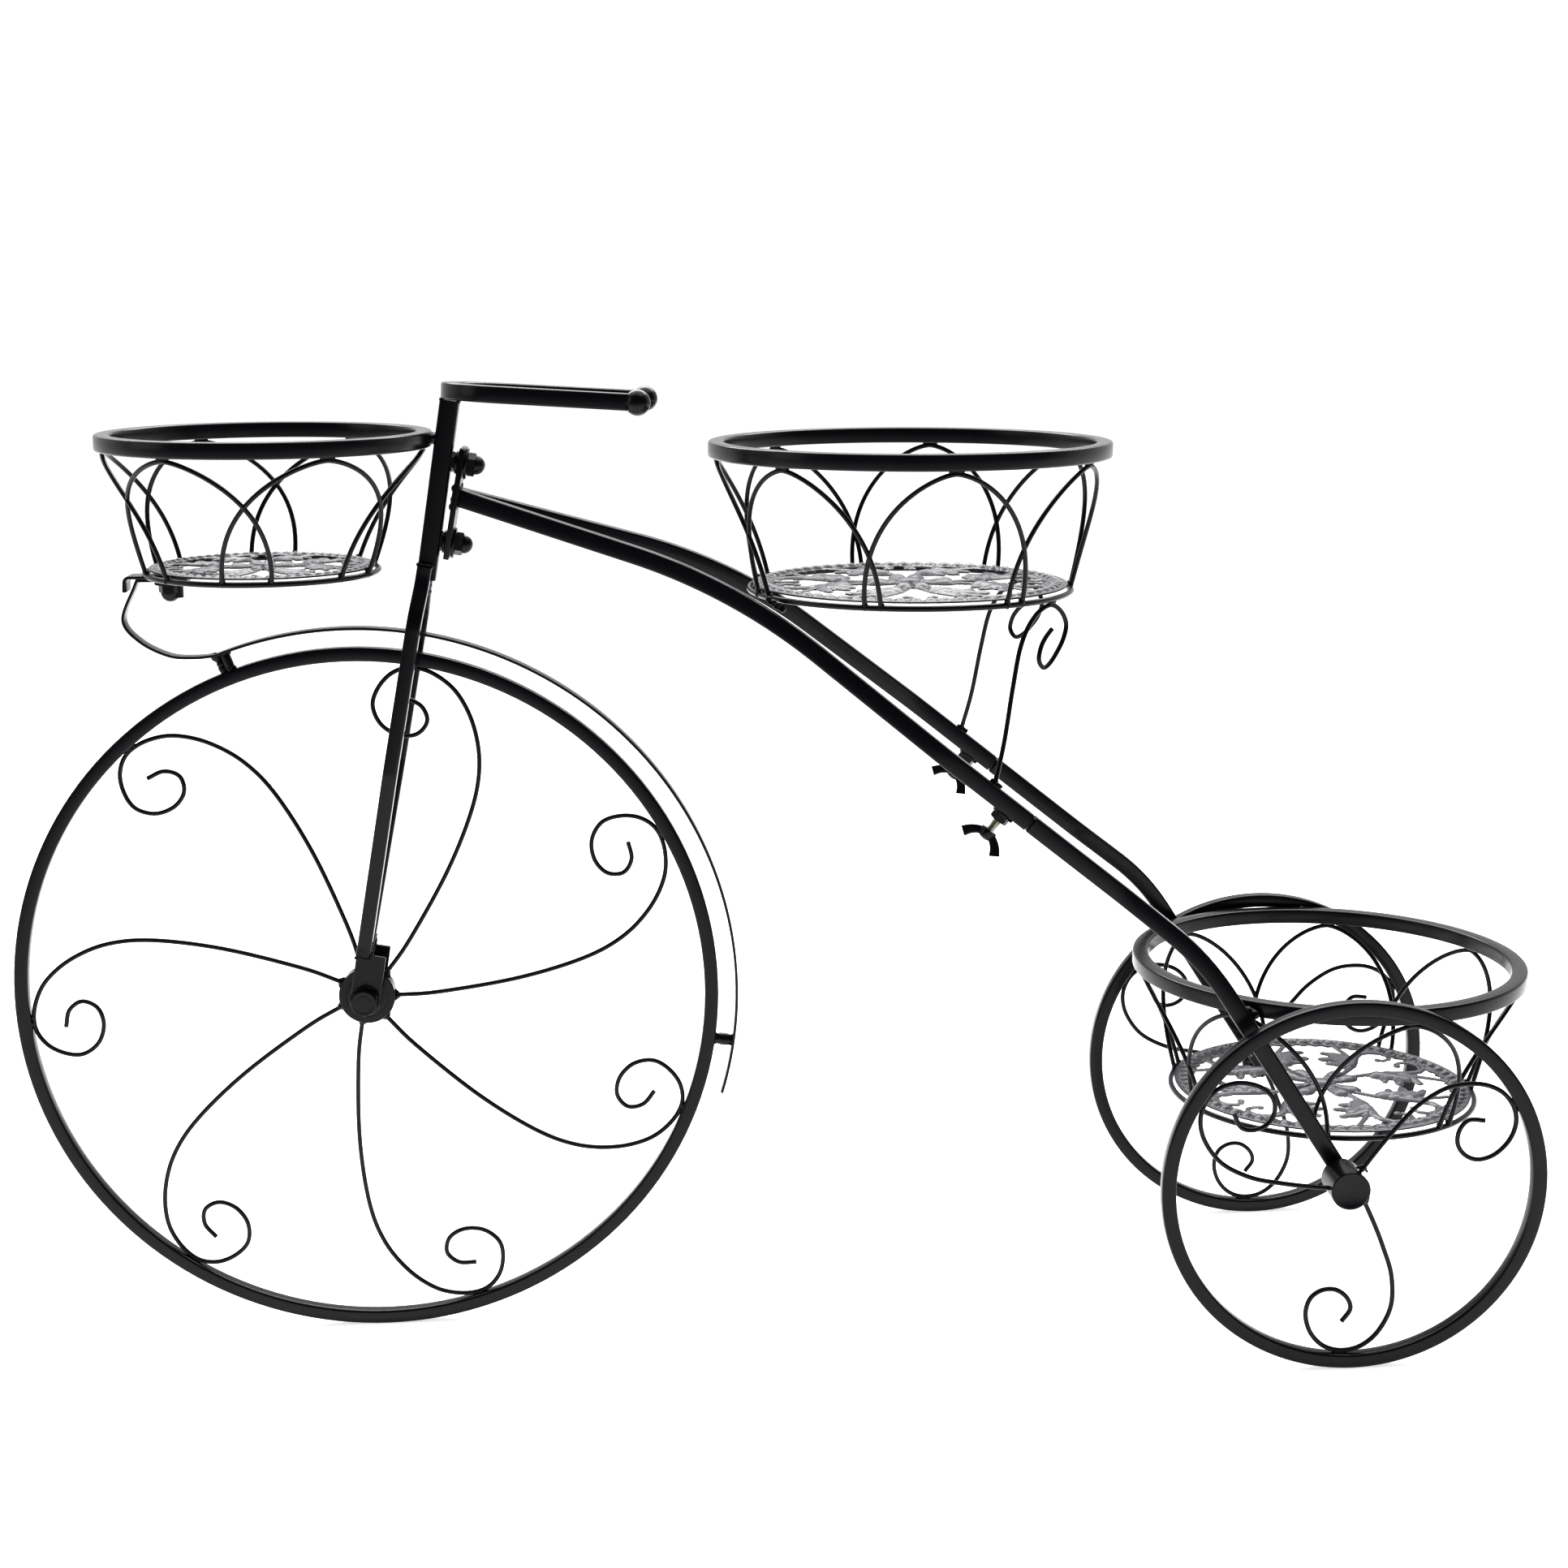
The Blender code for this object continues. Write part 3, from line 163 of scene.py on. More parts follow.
def coated(name, ripple, mottle, gloss, bump):
    """A material without its colour: the coat's grain is in its roughness, and the ripple in its normal."""
    made = bpy.data.materials.new(name)
    made.use_nodes = True
    tree = made.node_tree
    shader = tree.nodes["Principled BSDF"].inputs
    coat = chain(tree, "ShaderNodeGroup", {"Ripple Scale": ripple, "Mottle Scale": mottle}, node_tree=COAT)
    dull = chain(tree, "ShaderNodeMapRange", {"Value": coat["Grain"], **gloss})
    relief = chain(tree, "ShaderNodeBump", {"Height": coat["Height"], **bump})
    tree.links.new(dull["Result"], shader["Roughness"])
    tree.links.new(relief["Normal"], shader["Normal"])
    return made, tree, shader, coat


def powder(name, deep, thin, roughness, ripple, bump, specular=0.25):
    """A near-black coat that lightens a little where it mottles, and scatters a little where it grains."""
    gloss = {"From Min": 0.3, "From Max": 0.7, "To Min": roughness - 0.05, "To Max": roughness + 0.06}
    made, tree, shader, coat = coated(name, ripple, MOTTLE, gloss, {"Strength": 0.5, "Distance": bump})
    shader["Specular IOR Level"].default_value = specular
    tone = chain(tree, "ShaderNodeMix", {"Factor": coat["Mottle"], "A": (*deep, 1), "B": (*thin, 1)},
                 data_type="RGBA")
    tree.links.new(tone["Result"], shader["Base Color"])
    return made


TUBE_POWDER = powder("black_powder_on_tube", (0.0032, 0.0029, 0.0044), (0.0080, 0.0071, 0.0105), 0.23, 900,
                     0.00004)


def settle(obj, body, material, slot, *nodes, smooth=40.0):
    """Finish a piece: shade and paint it, and let it ride its body in place of its CAD nodes."""
    obj.data.materials.clear()
    obj.data.materials.append(material)
    obj.data.shade_smooth()
    obj.data.set_sharp_from_angle(angle=math.radians(smooth))
    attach(obj, body)
    if nodes:
        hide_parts(*nodes)
    return obj


def black(obj, body, *nodes, smooth=40.0):
    """Finish a piece in the tubes' black coat."""
    return settle(obj, body, TUBE_POWDER, "black_powder_coat", *nodes, smooth=smooth)


def made_of(name, shape, closed=True):
    """An object from a bmesh; a closed one has its faces turned outwards."""
    if closed:
        bmesh.ops.recalc_face_normals(shape, faces=shape.faces)
    mesh = bpy.data.meshes.new(name)
    shape.to_mesh(mesh)
    shape.free()
    return placed(name, mesh)


def skin(shape, rings, closed=False, capped=True):
    """Faces from each ring of vertices to the next, and over the two end rings unless they meet."""
    for one, two in zip(rings, rings[1:] + (rings[:1] if closed else [])):
        for k in range(len(one)):
            corners = one[k], one[(k + 1) % len(one)], two[(k + 1) % len(one)], two[k]
            shape.faces.new(list(dict.fromkeys(corners)))
    if capped and not closed:
        shape.faces.new(rings[0])
        shape.faces.new(rings[-1])


def toward(turn, first, second):
    """The direction that lies a turn away from the first of two square directions, on the second's side."""
    return first * math.cos(turn) + second * math.sin(turn)


def rounded(width, height, corner, steps=3):
    """A rectangle's outline with drawn corners, as pairs: across the path's plane, and out of it."""
    outline = []
    for quarter, (sx, sy) in enumerate(((1, 1), (-1, 1), (-1, -1), (1, -1))):
        for step in range(steps + 1):
            angle = math.radians(90 * quarter + 90 * step / steps)
            outline.append((sx * (width / 2 - corner) + corner * math.cos(angle),
                            sy * (height / 2 - corner) + corner * math.sin(angle)))
    return outline


def swept(name, path, outline, across=Y_AXIS, closed=False, swell=None, bore=None):
    """A bar of the outline along a path; `across` lies along its height, and `swell` scales it on the way.

    A bore is a share of the outline and a depth: the bar's end is then an open tube to that depth.
    """
    shape = bmesh.new()
    count = len(path)
    rings = []
    for i, point in enumerate(path):
        if closed:
            runs = [(point - path[i - 1]).normalized(), (path[(i + 1) % count] - point).normalized()]
        else:
            runs = [(path[j + 1] - path[j]).normalized() for j in (i - 1, i) if 0 <= j < count - 1]
        ahead = sum(runs, Vector()).normalized()
        out = across.cross(ahead).normalized()
        over = ahead.cross(out).normalized()
        wide, tall = swell[i] if swell else (1, 1)
        mitre = ahead.dot(runs[0])
        rings.append([shape.verts.new(point + out * (u * wide / mitre) + over * (v * tall))
                      for u, v in outline])
    if bore:
        for depth in (0, bore[1]):
            rings.append([shape.verts.new(path[-1] - ahead * depth + (out * u + over * v) * bore[0])
                          for u, v in outline])
    skin(shape, rings, closed)
    return made_of(name, shape)


def circle_path(centre, radius, axis, first):
    """A ring's route about an axis, from the first direction round."""
    side = axis.cross(first)
    return [centre + toward(2 * math.pi * k / RING_STATIONS, first, side) * radius
            for k in range(RING_STATIONS)]


def tube_ring(name, centre, radius, side, axis, first, body, node):
    """A rolled ring of square tube, of the given outside radius."""
    path = circle_path(centre, radius - side / 2, axis, first)
    black(swept(name, path, rounded(side, side, TUBE_CORNER), axis, closed=True), body, node)


tube_ring("front_wheel_tube", FRONT_AXLE, FRONT_WHEEL_R, WHEEL_TUBE, Y_AXIS, X_AXIS, "front_section",
          "front_wheel_rim")

# Front spokes: seven lengths of round wire, each bent to the same scroll, welded to the hub's drum at
# one end and to the rim where the scroll touches it. They are set by eye, each within two degrees.
SPOKE_R = 0.0013
FRONT_HUB_R = 0.0160
FRONT_SPOKES = 7
SCROLL_STEPS = 120
FRONT_SCROLL_START = 131.2
FRONT_SCROLL_SLIPS = (0.0, -0.5, 0.2, 1.0, 2.0, 1.5, 1.3)
FRONT_SCROLL_SHARES = [
    (0.000, -32.5), (0.140, -29.0), (0.400, -24.6), (0.619, -21.2), (0.760, -17.9), (0.870, -13.6),
    (0.950, -9.0), (0.990, -4.6), (1.000, -0.6), (0.975, 2.6), (0.925, 4.9), (0.865, 5.9),
    (0.806, 4.2), (0.777, 0.4), (0.790, -3.4), (0.838, -4.9), (0.882, -3.2), (0.900, 0.0),
]


def through(points, steps):
    """A smooth run of points that passes through the given ones."""
    points = [Vector(p) for p in points]
    ends = [2 * points[0] - points[1], *points, 2 * points[-1] - points[-2]]
    made = []
    for step in range(steps + 1):
        place = step * (len(points) - 1) / steps
        i = min(int(place), len(points) - 2)
        t = place - i
        a, b, c, d = ends[i:i + 4]
        made.append(0.5 * (2 * b + t * (c - a) + t * t * (2 * a - 5 * b + 4 * c - d)
                           + t ** 3 * (3 * b - a - 3 * c + d)))
    return made


def line_object(name, routes, cyclic):
    """A curve object that holds a poly spline for each route."""
    data = bpy.data.curves.new(name, "CURVE")
    data.dimensions = "3D"
    for route in routes:
        spline = data.splines.new("POLY")
        spline.points.add(len(route) - 1)
        for point, place in zip(spline.points, route):
            point.co = (*place, 1)
        spline.use_cyclic_u = cyclic
    return placed(name, data)


def new_tree(name, *inputs):
    """An empty geometry nodes tree with the named inputs and a material, and the sockets of its two ends."""
    tree = bpy.data.node_groups.new(name, "GeometryNodeTree")
    tree.interface.new_socket("Geometry", in_out="INPUT", socket_type="NodeSocketGeometry")
    for label, kind in (*inputs, ("Material", "Material")):
        tree.interface.new_socket(label, in_out="INPUT", socket_type="NodeSocket" + kind)
    tree.interface.new_socket("Geometry", in_out="OUTPUT", socket_type="NodeSocketGeometry")
    return tree, tree.nodes.new("NodeGroupInput").outputs, tree.nodes.new("NodeGroupOutput").inputs


def painted(tree, geometry, given, out):
    """Close a tree: realise what it made and paint it."""
    plain = chain(tree, "GeometryNodeRealizeInstances", {"Geometry": geometry})
    paint = chain(tree, "GeometryNodeSetMaterial", {"Geometry": plain[0], "Material": given["Material"]})
    tree.links.new(paint[0], out["Geometry"])
    return tree


def round_wires_tree():
    """Sweeps each route to round wire with cut ends."""
    tree, given, out = new_tree("round_wires", ("Wire Radius", "Float"), ("Sides", "Int"))
    ring = chain(tree, "GeometryNodeCurvePrimitiveCircle",
                 {"Resolution": given["Sides"], "Radius": given["Wire Radius"]})
    sweep = chain(tree, "GeometryNodeCurveToMesh",
                  {"Curve": given["Geometry"], "Profile Curve": ring[0], "Fill Caps": True})
    return painted(tree, sweep[0], given, out)


ROUND_WIRES = round_wires_tree()


def baked(base):
    """The plain mesh that an object's modifiers make of it; the object is used up."""
    bpy.context.view_layer.update()
    mesh = bpy.data.meshes.new_from_object(base.evaluated_get(bpy.context.evaluated_depsgraph_get()))
    bpy.data.objects.remove(base, do_unlink=True)
    return mesh


def grown(base, tree, name, **values):
    """What a geometry nodes tree makes of an object, with the tree's named inputs set."""
    modifier = base.modifiers.new("grow", "NODES")
    modifier.node_group = tree
    for item in tree.interface.items_tree:
        if item.item_type == "SOCKET" and item.in_out == "INPUT" and item.name.replace(" ", "_") in values:
            modifier[item.identifier] = values[item.name.replace(" ", "_")]
    shape = bmesh.new()
    shape.from_mesh(baked(base))
    return made_of(name, shape, closed=all(edge.is_manifold for edge in shape.edges))


def wires(name, routes, radius, sides=14, cyclic=False):
    """Round wire along each route, in one mesh."""
    return grown(line_object(name, routes, cyclic), ROUND_WIRES, name, Wire_Radius=radius, Sides=sides,
                 Material=TUBE_POWDER)


welds = {"front_section": [], "rear_section": []}
shaky = random.Random(11)


def weld(body, start, end, size, count, wander=0.3):
    """Lay a run of weld metal from one place to another; its lumps wander and vary a little."""
    for k in range(count):
        off = Vector([shaky.uniform(-1, 1) for _ in range(3)]) * (size * wander)
        welds[body].append((start.lerp(end, k / max(count - 1, 1)) + off, size * shaky.uniform(0.85, 1.15)))


def weld_run(body, middle, reach, size, count=5, wander=0.3):
    """Lay a run of weld metal that reaches as far to each side of a place."""
    weld(body, middle - reach, middle + reach, size, count, wander)


def scroll(centre, hub_r, wheel_r, start, shares):
    """A spoke's route in its wheel's plane, from the hub's drum to its free curled end."""
    inner, outer = hub_r, wheel_r - WHEEL_TUBE - SPOKE_R
    route = []
    for share, angle in shares:
        turn, reach = math.radians(start + angle), inner + (outer - inner) * share
        route.append(centre + Vector((math.cos(turn) * reach, 0, math.sin(turn) * reach)))
    return through(route, SCROLL_STEPS)


front_scrolls = [scroll(FRONT_AXLE, FRONT_HUB_R, FRONT_WHEEL_R,
                        FRONT_SCROLL_START - 360 / FRONT_SPOKES * k + slip, FRONT_SCROLL_SHARES)
                 for k, slip in enumerate(FRONT_SCROLL_SLIPS)]
front_spokes = wires("front_scroll_spokes", front_scrolls, SPOKE_R)
black(front_spokes, "front_section", *[f"front_spoke_{k + 1}" for k in range(FRONT_SPOKES)], smooth=60)


def weld_scroll(body, centre, wheel_r, route):
    """Weld a scroll to its hub's drum at its foot, and to the rim where it lies against it."""
    outward = (route[0] - centre).normalized()
    weld(body, route[0] - outward * SPOKE_R * 0.4, route[0] + outward * SPOKE_R * 0.9,
         size=SPOKE_R * 1.2, count=3, wander=0.2)
    for side in (-1, 1):
        toe = route[0] + Y_AXIS.cross(outward) * (side * SPOKE_R * 2.2) - outward * SPOKE_R * 0.2
        weld(body, toe, route[0] + outward * SPOKE_R * 1.9, size=SPOKE_R * 0.62, count=5, wander=0.15)
    far = max(range(len(route)), key=lambda i: (route[i] - centre).length)
    run = (route[far + 1] - route[far - 1]).normalized() * SPOKE_R * 2.2
    touch = centre + (route[far] - centre).normalized() * (wheel_r - WHEEL_TUBE - SPOKE_R * 0.3)
    weld_run(body, touch, run, size=SPOKE_R * 1.1)


for route in front_scrolls:
    weld_scroll("front_section", FRONT_AXLE, FRONT_WHEEL_R, route)

# Front hub: a turned steel drum with a boss at each side that keeps the fork's plates off the spokes.
# Its corners are broken by the lathe, and its faces keep faint tool rings under the coat.
DRUM_HALF, BOSS_R, BOSS_HALF = 0.0050, 0.0075, 0.0102
DRUM_CHAMFER = 0.0006
TOOL_RING_R, TOOL_RING = 0.0120, 0.0002
AXLE_BORE_R = 0.0043


def turned(name, profile, place, axis, steps=48, away=Y_AXIS):
    """A piece turned about an axis, from (radius, height) pairs listed down its outer side.

    A third number makes the station a hexagon across whose flats the radius reaches; its corners are
    shifted by that share of how far they stand out.
    """
    side = away.cross(axis).normalized()
    other = axis.cross(side)
    shape = bmesh.new()
    rings = []
    for radius, height, *hexagon in profile:
        if radius == 0:
            rings.append([shape.verts.new(place + axis * height)] * steps)
            continue
        ring = []
        for k in range(steps):
            turn = 2 * math.pi * k / steps
            reach = radius / math.cos(turn % (math.pi / 3) - math.pi / 6) if hexagon else radius
            lift = height + (hexagon[0] * (reach - radius) if hexagon else 0)
            ring.append(shape.verts.new(place + toward(turn, side, other) * reach + axis * lift))
        rings.append(ring)
    skin(shape, rings, capped=False)
    return made_of(name, shape)


def mirrored(half):
    """A profile for a piece that is the same at both ends, from its upper half."""
    return half + [(radius, -height) for radius, height in reversed(half)]


drum_half = [(AXLE_BORE_R, BOSS_HALF), (BOSS_R - DRUM_CHAMFER, BOSS_HALF), (BOSS_R, BOSS_HALF - DRUM_CHAMFER),
             (BOSS_R, DRUM_HALF), (TOOL_RING_R - TOOL_RING, DRUM_HALF - TOOL_RING), (TOOL_RING_R, DRUM_HALF),
             (FRONT_HUB_R - DRUM_CHAMFER, DRUM_HALF), (FRONT_HUB_R, DRUM_HALF - DRUM_CHAMFER)]
black(turned("front_hub_drum", mirrored(drum_half), FRONT_AXLE, Y_AXIS, 96, X_AXIS), "front_section",
      "front_hub")

# Axle bolt and nut: a flanged hexagon head on the near side and a plain nut on the far one, both run
# down on the fork's plates, with the bolt's rounded end standing out of the nut.
GAP = 0.0003
PLATE_OUTSIDE = 0.0130
FLANGE_R, FLANGE = 0.0085, 0.0012
HEAD_FLAT, HEAD_HEIGHT = 0.0070, 0.0055
HEX_BREAK_SHARE = 0.55
HEAD_MARK_SHARES, HEAD_MARK = (0.62, 0.66), 0.00015
FLANGE_BREAK = 0.0003
NUT_FACE_R = 0.0052
AXLE_R = 0.0040
AXLE_END = ((AXLE_R, 0.0004), (AXLE_R - 0.0006, 0.0010), (0, 0.0011))


def hex_profile(flat, low, high):
    """A hexagon between two heights, its outer end turned down to a chamfer that leaves a round face."""
    return [(flat * 0.97, high), (flat, high - flat * 0.02, -HEX_BREAK_SHARE), (flat, low, 0.0)]


head_from = PLATE_OUTSIDE + GAP
hexagon_from = head_from + FLANGE
head_top = hexagon_from + HEAD_HEIGHT
bolt_end = -head_from - HEAD_HEIGHT
mark_from, mark_to = (HEAD_FLAT * share for share in HEAD_MARK_SHARES)
head_profile = [(0, head_top), (mark_from, head_top), (mark_to, head_top - HEAD_MARK)]
head_profile += hex_profile(HEAD_FLAT, hexagon_from, head_top)
head_profile += [(FLANGE_R - FLANGE_BREAK, hexagon_from), (FLANGE_R, hexagon_from - FLANGE_BREAK),
                 (FLANGE_R, head_from), (AXLE_R, head_from)]
head_profile += [(radius, bolt_end - beyond) for radius, beyond in AXLE_END]
black(turned("axle_flange_bolt", head_profile, FRONT_AXLE, -Y_AXIS, 48, X_AXIS), "front_section", "axle_bolt",
      smooth=15)
nut_profile = [(AXLE_BORE_R, HEAD_HEIGHT), (NUT_FACE_R, HEAD_HEIGHT)] + hex_profile(HEAD_FLAT, 0, HEAD_HEIGHT)
nut_profile += [(AXLE_BORE_R, 0), (AXLE_BORE_R, HEAD_HEIGHT)]
nut_place = FRONT_AXLE + Y_AXIS * head_from
black(turned("axle_nut_piece", nut_profile, nut_place, Y_AXIS, 48, X_AXIS), "front_section", "axle_nut",
      smooth=15)

# Fork: two square tubes that leave the post's sides, spread round the wheel and close in again on two
# notched plates. The plates carry the axle; each tube's foot is welded into its plate's notch.
SIDES = ((-1, "left"), (1, "right"))
POST_RAKE, FORK_ANGLE, BLADE_ANGLE = math.radians(11.1), math.radians(11.36), math.radians(12.57)
CROWN_RISE = 0.2419
BLADE_SIDE = 0.0080
BLADE_STATIONS = ((-0.0018, 0.00915), (0.0080, 0.00915), (0.0255, 0.0218), (0.1100, 0.0218),
                  (0.2113, 0.0090), (0.2173, 0.0090))
DROPOUT_SIZE = (0.0166, 0.0025)
BLADE_BEND_R = 0.0200
DROPOUT_RISE, DROPOUT_DROP, DROPOUT_CORNER = 0.0265, 0.0090, 0.0006
TOE_SHARE = 0.35
EDGE_ROUND, EDGE_SHARE = 0.0003, 0.12
HEEL_WELD, SOLE_WELD, CROWN_WELD, SEAM_WELD = 0.0085, 0.0038, 0.0036, (0.0010, 0.0150)
CROWN = FRONT_AXLE + Vector((CROWN_RISE * math.tan(FORK_ANGLE), 0, CROWN_RISE))


def leaning(turn):
    """The upward and the rearward direction of what leans back by a turn."""
    return Vector((math.sin(turn), 0, math.cos(turn))), Vector((math.cos(turn), 0, -math.sin(turn)))


post_up, post_back = leaning(POST_RAKE)
blade_up, blade_back = leaning(BLADE_ANGLE)
plate_up = (CROWN - FRONT_AXLE).normalized()
plate_back = Vector((plate_up.z, 0, -plate_up.x))


def filleted(corners, radii, steps=16):
    """A path through the corners, with an arc of the given radius at each inner one."""
    path = [corners[0]]
    for i, radius in enumerate(radii, start=1):
        back = (corners[i - 1] - corners[i]).normalized()
        ahead = (corners[i + 1] - corners[i]).normalized()
        half = back.angle(ahead) / 2
        centre = corners[i] + (back + ahead).normalized() * radius / math.sin(half)
        first = (corners[i] + back * radius / math.tan(half) - centre).normalized()
        last = (corners[i] + ahead * radius / math.tan(half) - centre).normalized()
        path += [centre + radius * first.slerp(last, step / steps) for step in range(steps + 1)]
    path.append(corners[-1])
    return path


def extruded(name, outline, thickness, place, right, up):
    """A flat plate: an outline in its own right and up directions, with edges broken a little."""
    shape = bmesh.new()
    normal = right.cross(up)
    middle = sum((Vector(p) for p in outline), Vector((0, 0))) / len(outline)
    rings = []
    broken, full = 0.5, 0.5 - EDGE_SHARE
    for offset, shrink in ((-broken, EDGE_ROUND), (-full, 0), (full, 0), (broken, EDGE_ROUND)):
        ring = []
        for p in outline:
            inward = (middle - Vector(p)).normalized() * shrink
            ring.append(shape.verts.new(place + right * (p[0] + inward.x) + up * (p[1] + inward.y)
                                        + normal * (thickness * offset)))
        rings.append(ring)
    skin(shape, rings)
    return made_of(name, shape)


half_wide = DROPOUT_SIZE[0] / 2
toe_arc = [math.radians(a) for a in range(195, 350, 15)]
for side, name in SIDES:
    corners = [CROWN - blade_up * (drop / blade_up.z) + Y_AXIS * (side * y) for drop, y in BLADE_STATIONS]
    blade = swept(f"fork_tube_{name}", filleted(corners, [BLADE_BEND_R] * 4, 10),
                  rounded(BLADE_SIDE, BLADE_SIDE, TUBE_CORNER), blade_back)
    black(blade, "front_section", f"fork_blade_{name}")
    notch = (corners[-1] - FRONT_AXLE).dot(plate_back) + BLADE_SIDE / 2 + GAP
    notch_floor = (corners[-1] - FRONT_AXLE).dot(plate_up) - GAP
    plan = [(-half_wide, notch_floor), (-half_wide, -DROPOUT_DROP * TOE_SHARE)]
    plan += [(half_wide * math.cos(a), -DROPOUT_DROP * (TOE_SHARE - (1 - TOE_SHARE) * math.sin(a)))
             for a in toe_arc]
    plan += [(half_wide, -DROPOUT_DROP * TOE_SHARE), (half_wide, DROPOUT_RISE - DROPOUT_CORNER),
             (half_wide - DROPOUT_CORNER, DROPOUT_RISE), (notch, DROPOUT_RISE), (notch, notch_floor)]
    place = FRONT_AXLE + Y_AXIS * (side * (PLATE_OUTSIDE - DROPOUT_SIZE[1] / 2))
    plate = extruded(f"fork_plate_{name}", plan, DROPOUT_SIZE[1], place, plate_back, plate_up)
    black(plate, "front_section", f"dropout_{name}", smooth=30)
    heel = corners[-1] + plate_back * (BLADE_SIDE / 2)
    weld("front_section", heel, heel + plate_up * HEEL_WELD, size=0.0011, count=7)
    sole = corners[-1] + Y_AXIS * (side * BLADE_SIDE / 2 * 0.9)
    weld_run("front_section", sole, plate_back * SOLE_WELD, size=0.0009, count=8)
    for face in (-1, 1):
        seam = corners[0] + blade_back * (face * BLADE_SIDE / 2 * 0.8) - Y_AXIS * (side * BLADE_SIDE / 2)
        ends = (seam - blade_up * drop for drop in SEAM_WELD)
        weld("front_section", *ends, size=0.0012, count=9)
    weld_run("front_section", corners[0] + blade_up * 0.0004, blade_back * CROWN_WELD, size=0.0013, count=7)

# Steering post: a square tube raked back from the fork's crown, carrying two studs at its rear for the
# head plate. A lock nut and a washer on each stud hold the head plate off the post.
POST_SIDE = 0.0105
STUD_R = 0.0030
POST_SHIFT = 0.0010
HEAD_OFFSETS, HEAD_PLATE = {"upper": 0.0108, "lower": 0.0100}, (0.0030, 0.0230)
STUD_RISES = {"upper": 0.0586, "lower": 0.0156}
STUD_FROM, STUD_BEYOND, STUD_PITCH, STUD_DEPTH = 0.0044, 0.0080, 0.0010, 0.0005
POST_FROM, POST_TO = -0.0058, 0.0906
# Each stud's lock nut and washer, as (radius, distance in front of the head plate).
STUD_NUT = ((0.0031, 0.0018), (0.0046, 0.0018), (0.0048, 0.0020, -0.5), (0.0048, 0.0046, 0.5),
            (0.0031, 0.0048))
STUD_WASHER = ((0.0031, 0.0002), (0.0063, 0.0002), (0.0064, 0.0004), (0.0064, 0.0014), (0.0063, 0.0016),
               (0.0031, 0.0016))


def on_post(rise):
    """A point of the post's middle line, by its height above the crown."""
    return CROWN + X_AXIS * POST_SHIFT + post_up * (rise / post_up.z)


def joined(name, pieces):
    """Several objects as one mesh."""
    shape = bmesh.new()
    for piece in pieces:
        shape.from_mesh(piece.data)
        bpy.data.objects.remove(piece, do_unlink=True)
    return made_of(name, shape, closed=False)


def threaded(name, radius, pitch, depth, low, high, place, axis, steps=24, per_turn=6):
    """A rod with a true helical thread between two heights, its ends turned down to the root."""
    side = Y_AXIS.cross(axis).normalized()
    other = axis.cross(side)
    shape = bmesh.new()
    rows = max(2, round((high - low) / pitch * per_turn))
    rings = []
    for row in range(rows + 1):
        height = low + (high - low) * row / rows
        near_end = min(height - low, high - height) / pitch
        ring = []
        for k in range(steps):
            turn = 2 * math.pi * k / steps
            phase = (height / pitch - k / steps) % 1
            ridge = 1 - abs(2 * phase - 1)
            reach = radius - depth * (1 - min(ridge, near_end * 1.4))
            ring.append(shape.verts.new(place + toward(turn, side, other) * reach + axis * height))
        rings.append(ring)
    skin(shape, rings)
    return made_of(name, shape)


post_foot, post_top = on_post(POST_FROM), on_post(POST_TO)
pieces = [swept("post", [post_foot, post_top], rounded(POST_SIDE, POST_SIDE, TUBE_CORNER), Y_AXIS)]
for name, rise in STUD_RISES.items():
    stud = on_post(rise)
    outer = HEAD_OFFSETS[name] + HEAD_PLATE[0] / 2 + GAP
    pieces.append(threaded("stud", STUD_R, STUD_PITCH, STUD_DEPTH, STUD_FROM, outer + STUD_BEYOND, stud,
                           post_back))
    inner = HEAD_OFFSETS[name] - HEAD_PLATE[0] / 2 - GAP
    for label, profile in (("stud_nut", STUD_NUT), ("stud_washer", STUD_WASHER)):
        hung = [(radius, inner - ahead, *hexagon) for radius, ahead, *hexagon in profile]
        pieces.append(turned(label, hung, stud, post_back))
black(joined("steering_post_tube", pieces), "front_section", "steering_post")

# Head plate and capped nuts: a flat strip that stands off the post, with the frame's two tubes welded
# to its rear face. Each stud ends in a cap nut: a washer, a hexagon and a pressed dome.
HEAD_TOP, HEAD_FOOT = 0.0671, 0.0071
plate_rise = (HEAD_TOP + HEAD_FOOT) / 2
plate_half = (HEAD_TOP - HEAD_FOOT) / post_up.z / 2
corner = 0.0018
arc = [(corner * math.cos(math.radians(a)), corner * math.sin(math.radians(a))) for a in range(0, 91, 30)]
plan = [(sx * (HEAD_PLATE[1] / 2 - corner) + sx * (u if sx * sz > 0 else v),
         sz * (plate_half - corner) + sz * (v if sx * sz > 0 else u))
        for sx, sz in ((1, 1), (-1, 1), (-1, -1), (1, -1)) for u, v in arc]
stand_off = sum(HEAD_OFFSETS.values()) / 2
lean = (HEAD_OFFSETS["upper"] - HEAD_OFFSETS["lower"]) / (STUD_RISES["upper"] - STUD_RISES["lower"])
head_up = (post_up + post_back * lean).normalized()
strip = extruded("head_plate_strip", plan, HEAD_PLATE[0], on_post(plate_rise) + post_back * stand_off, Y_AXIS,
                 head_up)
black(strip, "front_section", "head_plate")
CAP_WASHER_R, CAP_WASHER = 0.0085, 0.0014
CAP_FLAT, CAP_HEX = 0.0055, 0.0044
CAP_DOME_R, CAP_BORE_R = 0.0052, 0.0033
CAP_SEAM, CAP_BREAK = 0.0001, 0.0003
STUD_WELD = 0.0026


def dome(radius, middle, last, step):
    """A ball's profile about a middle height, from its pole down to the last angle."""
    return [(radius * math.sin(math.radians(a)), middle + radius * math.cos(math.radians(a)))
            for a in range(0, last + 1, step)]


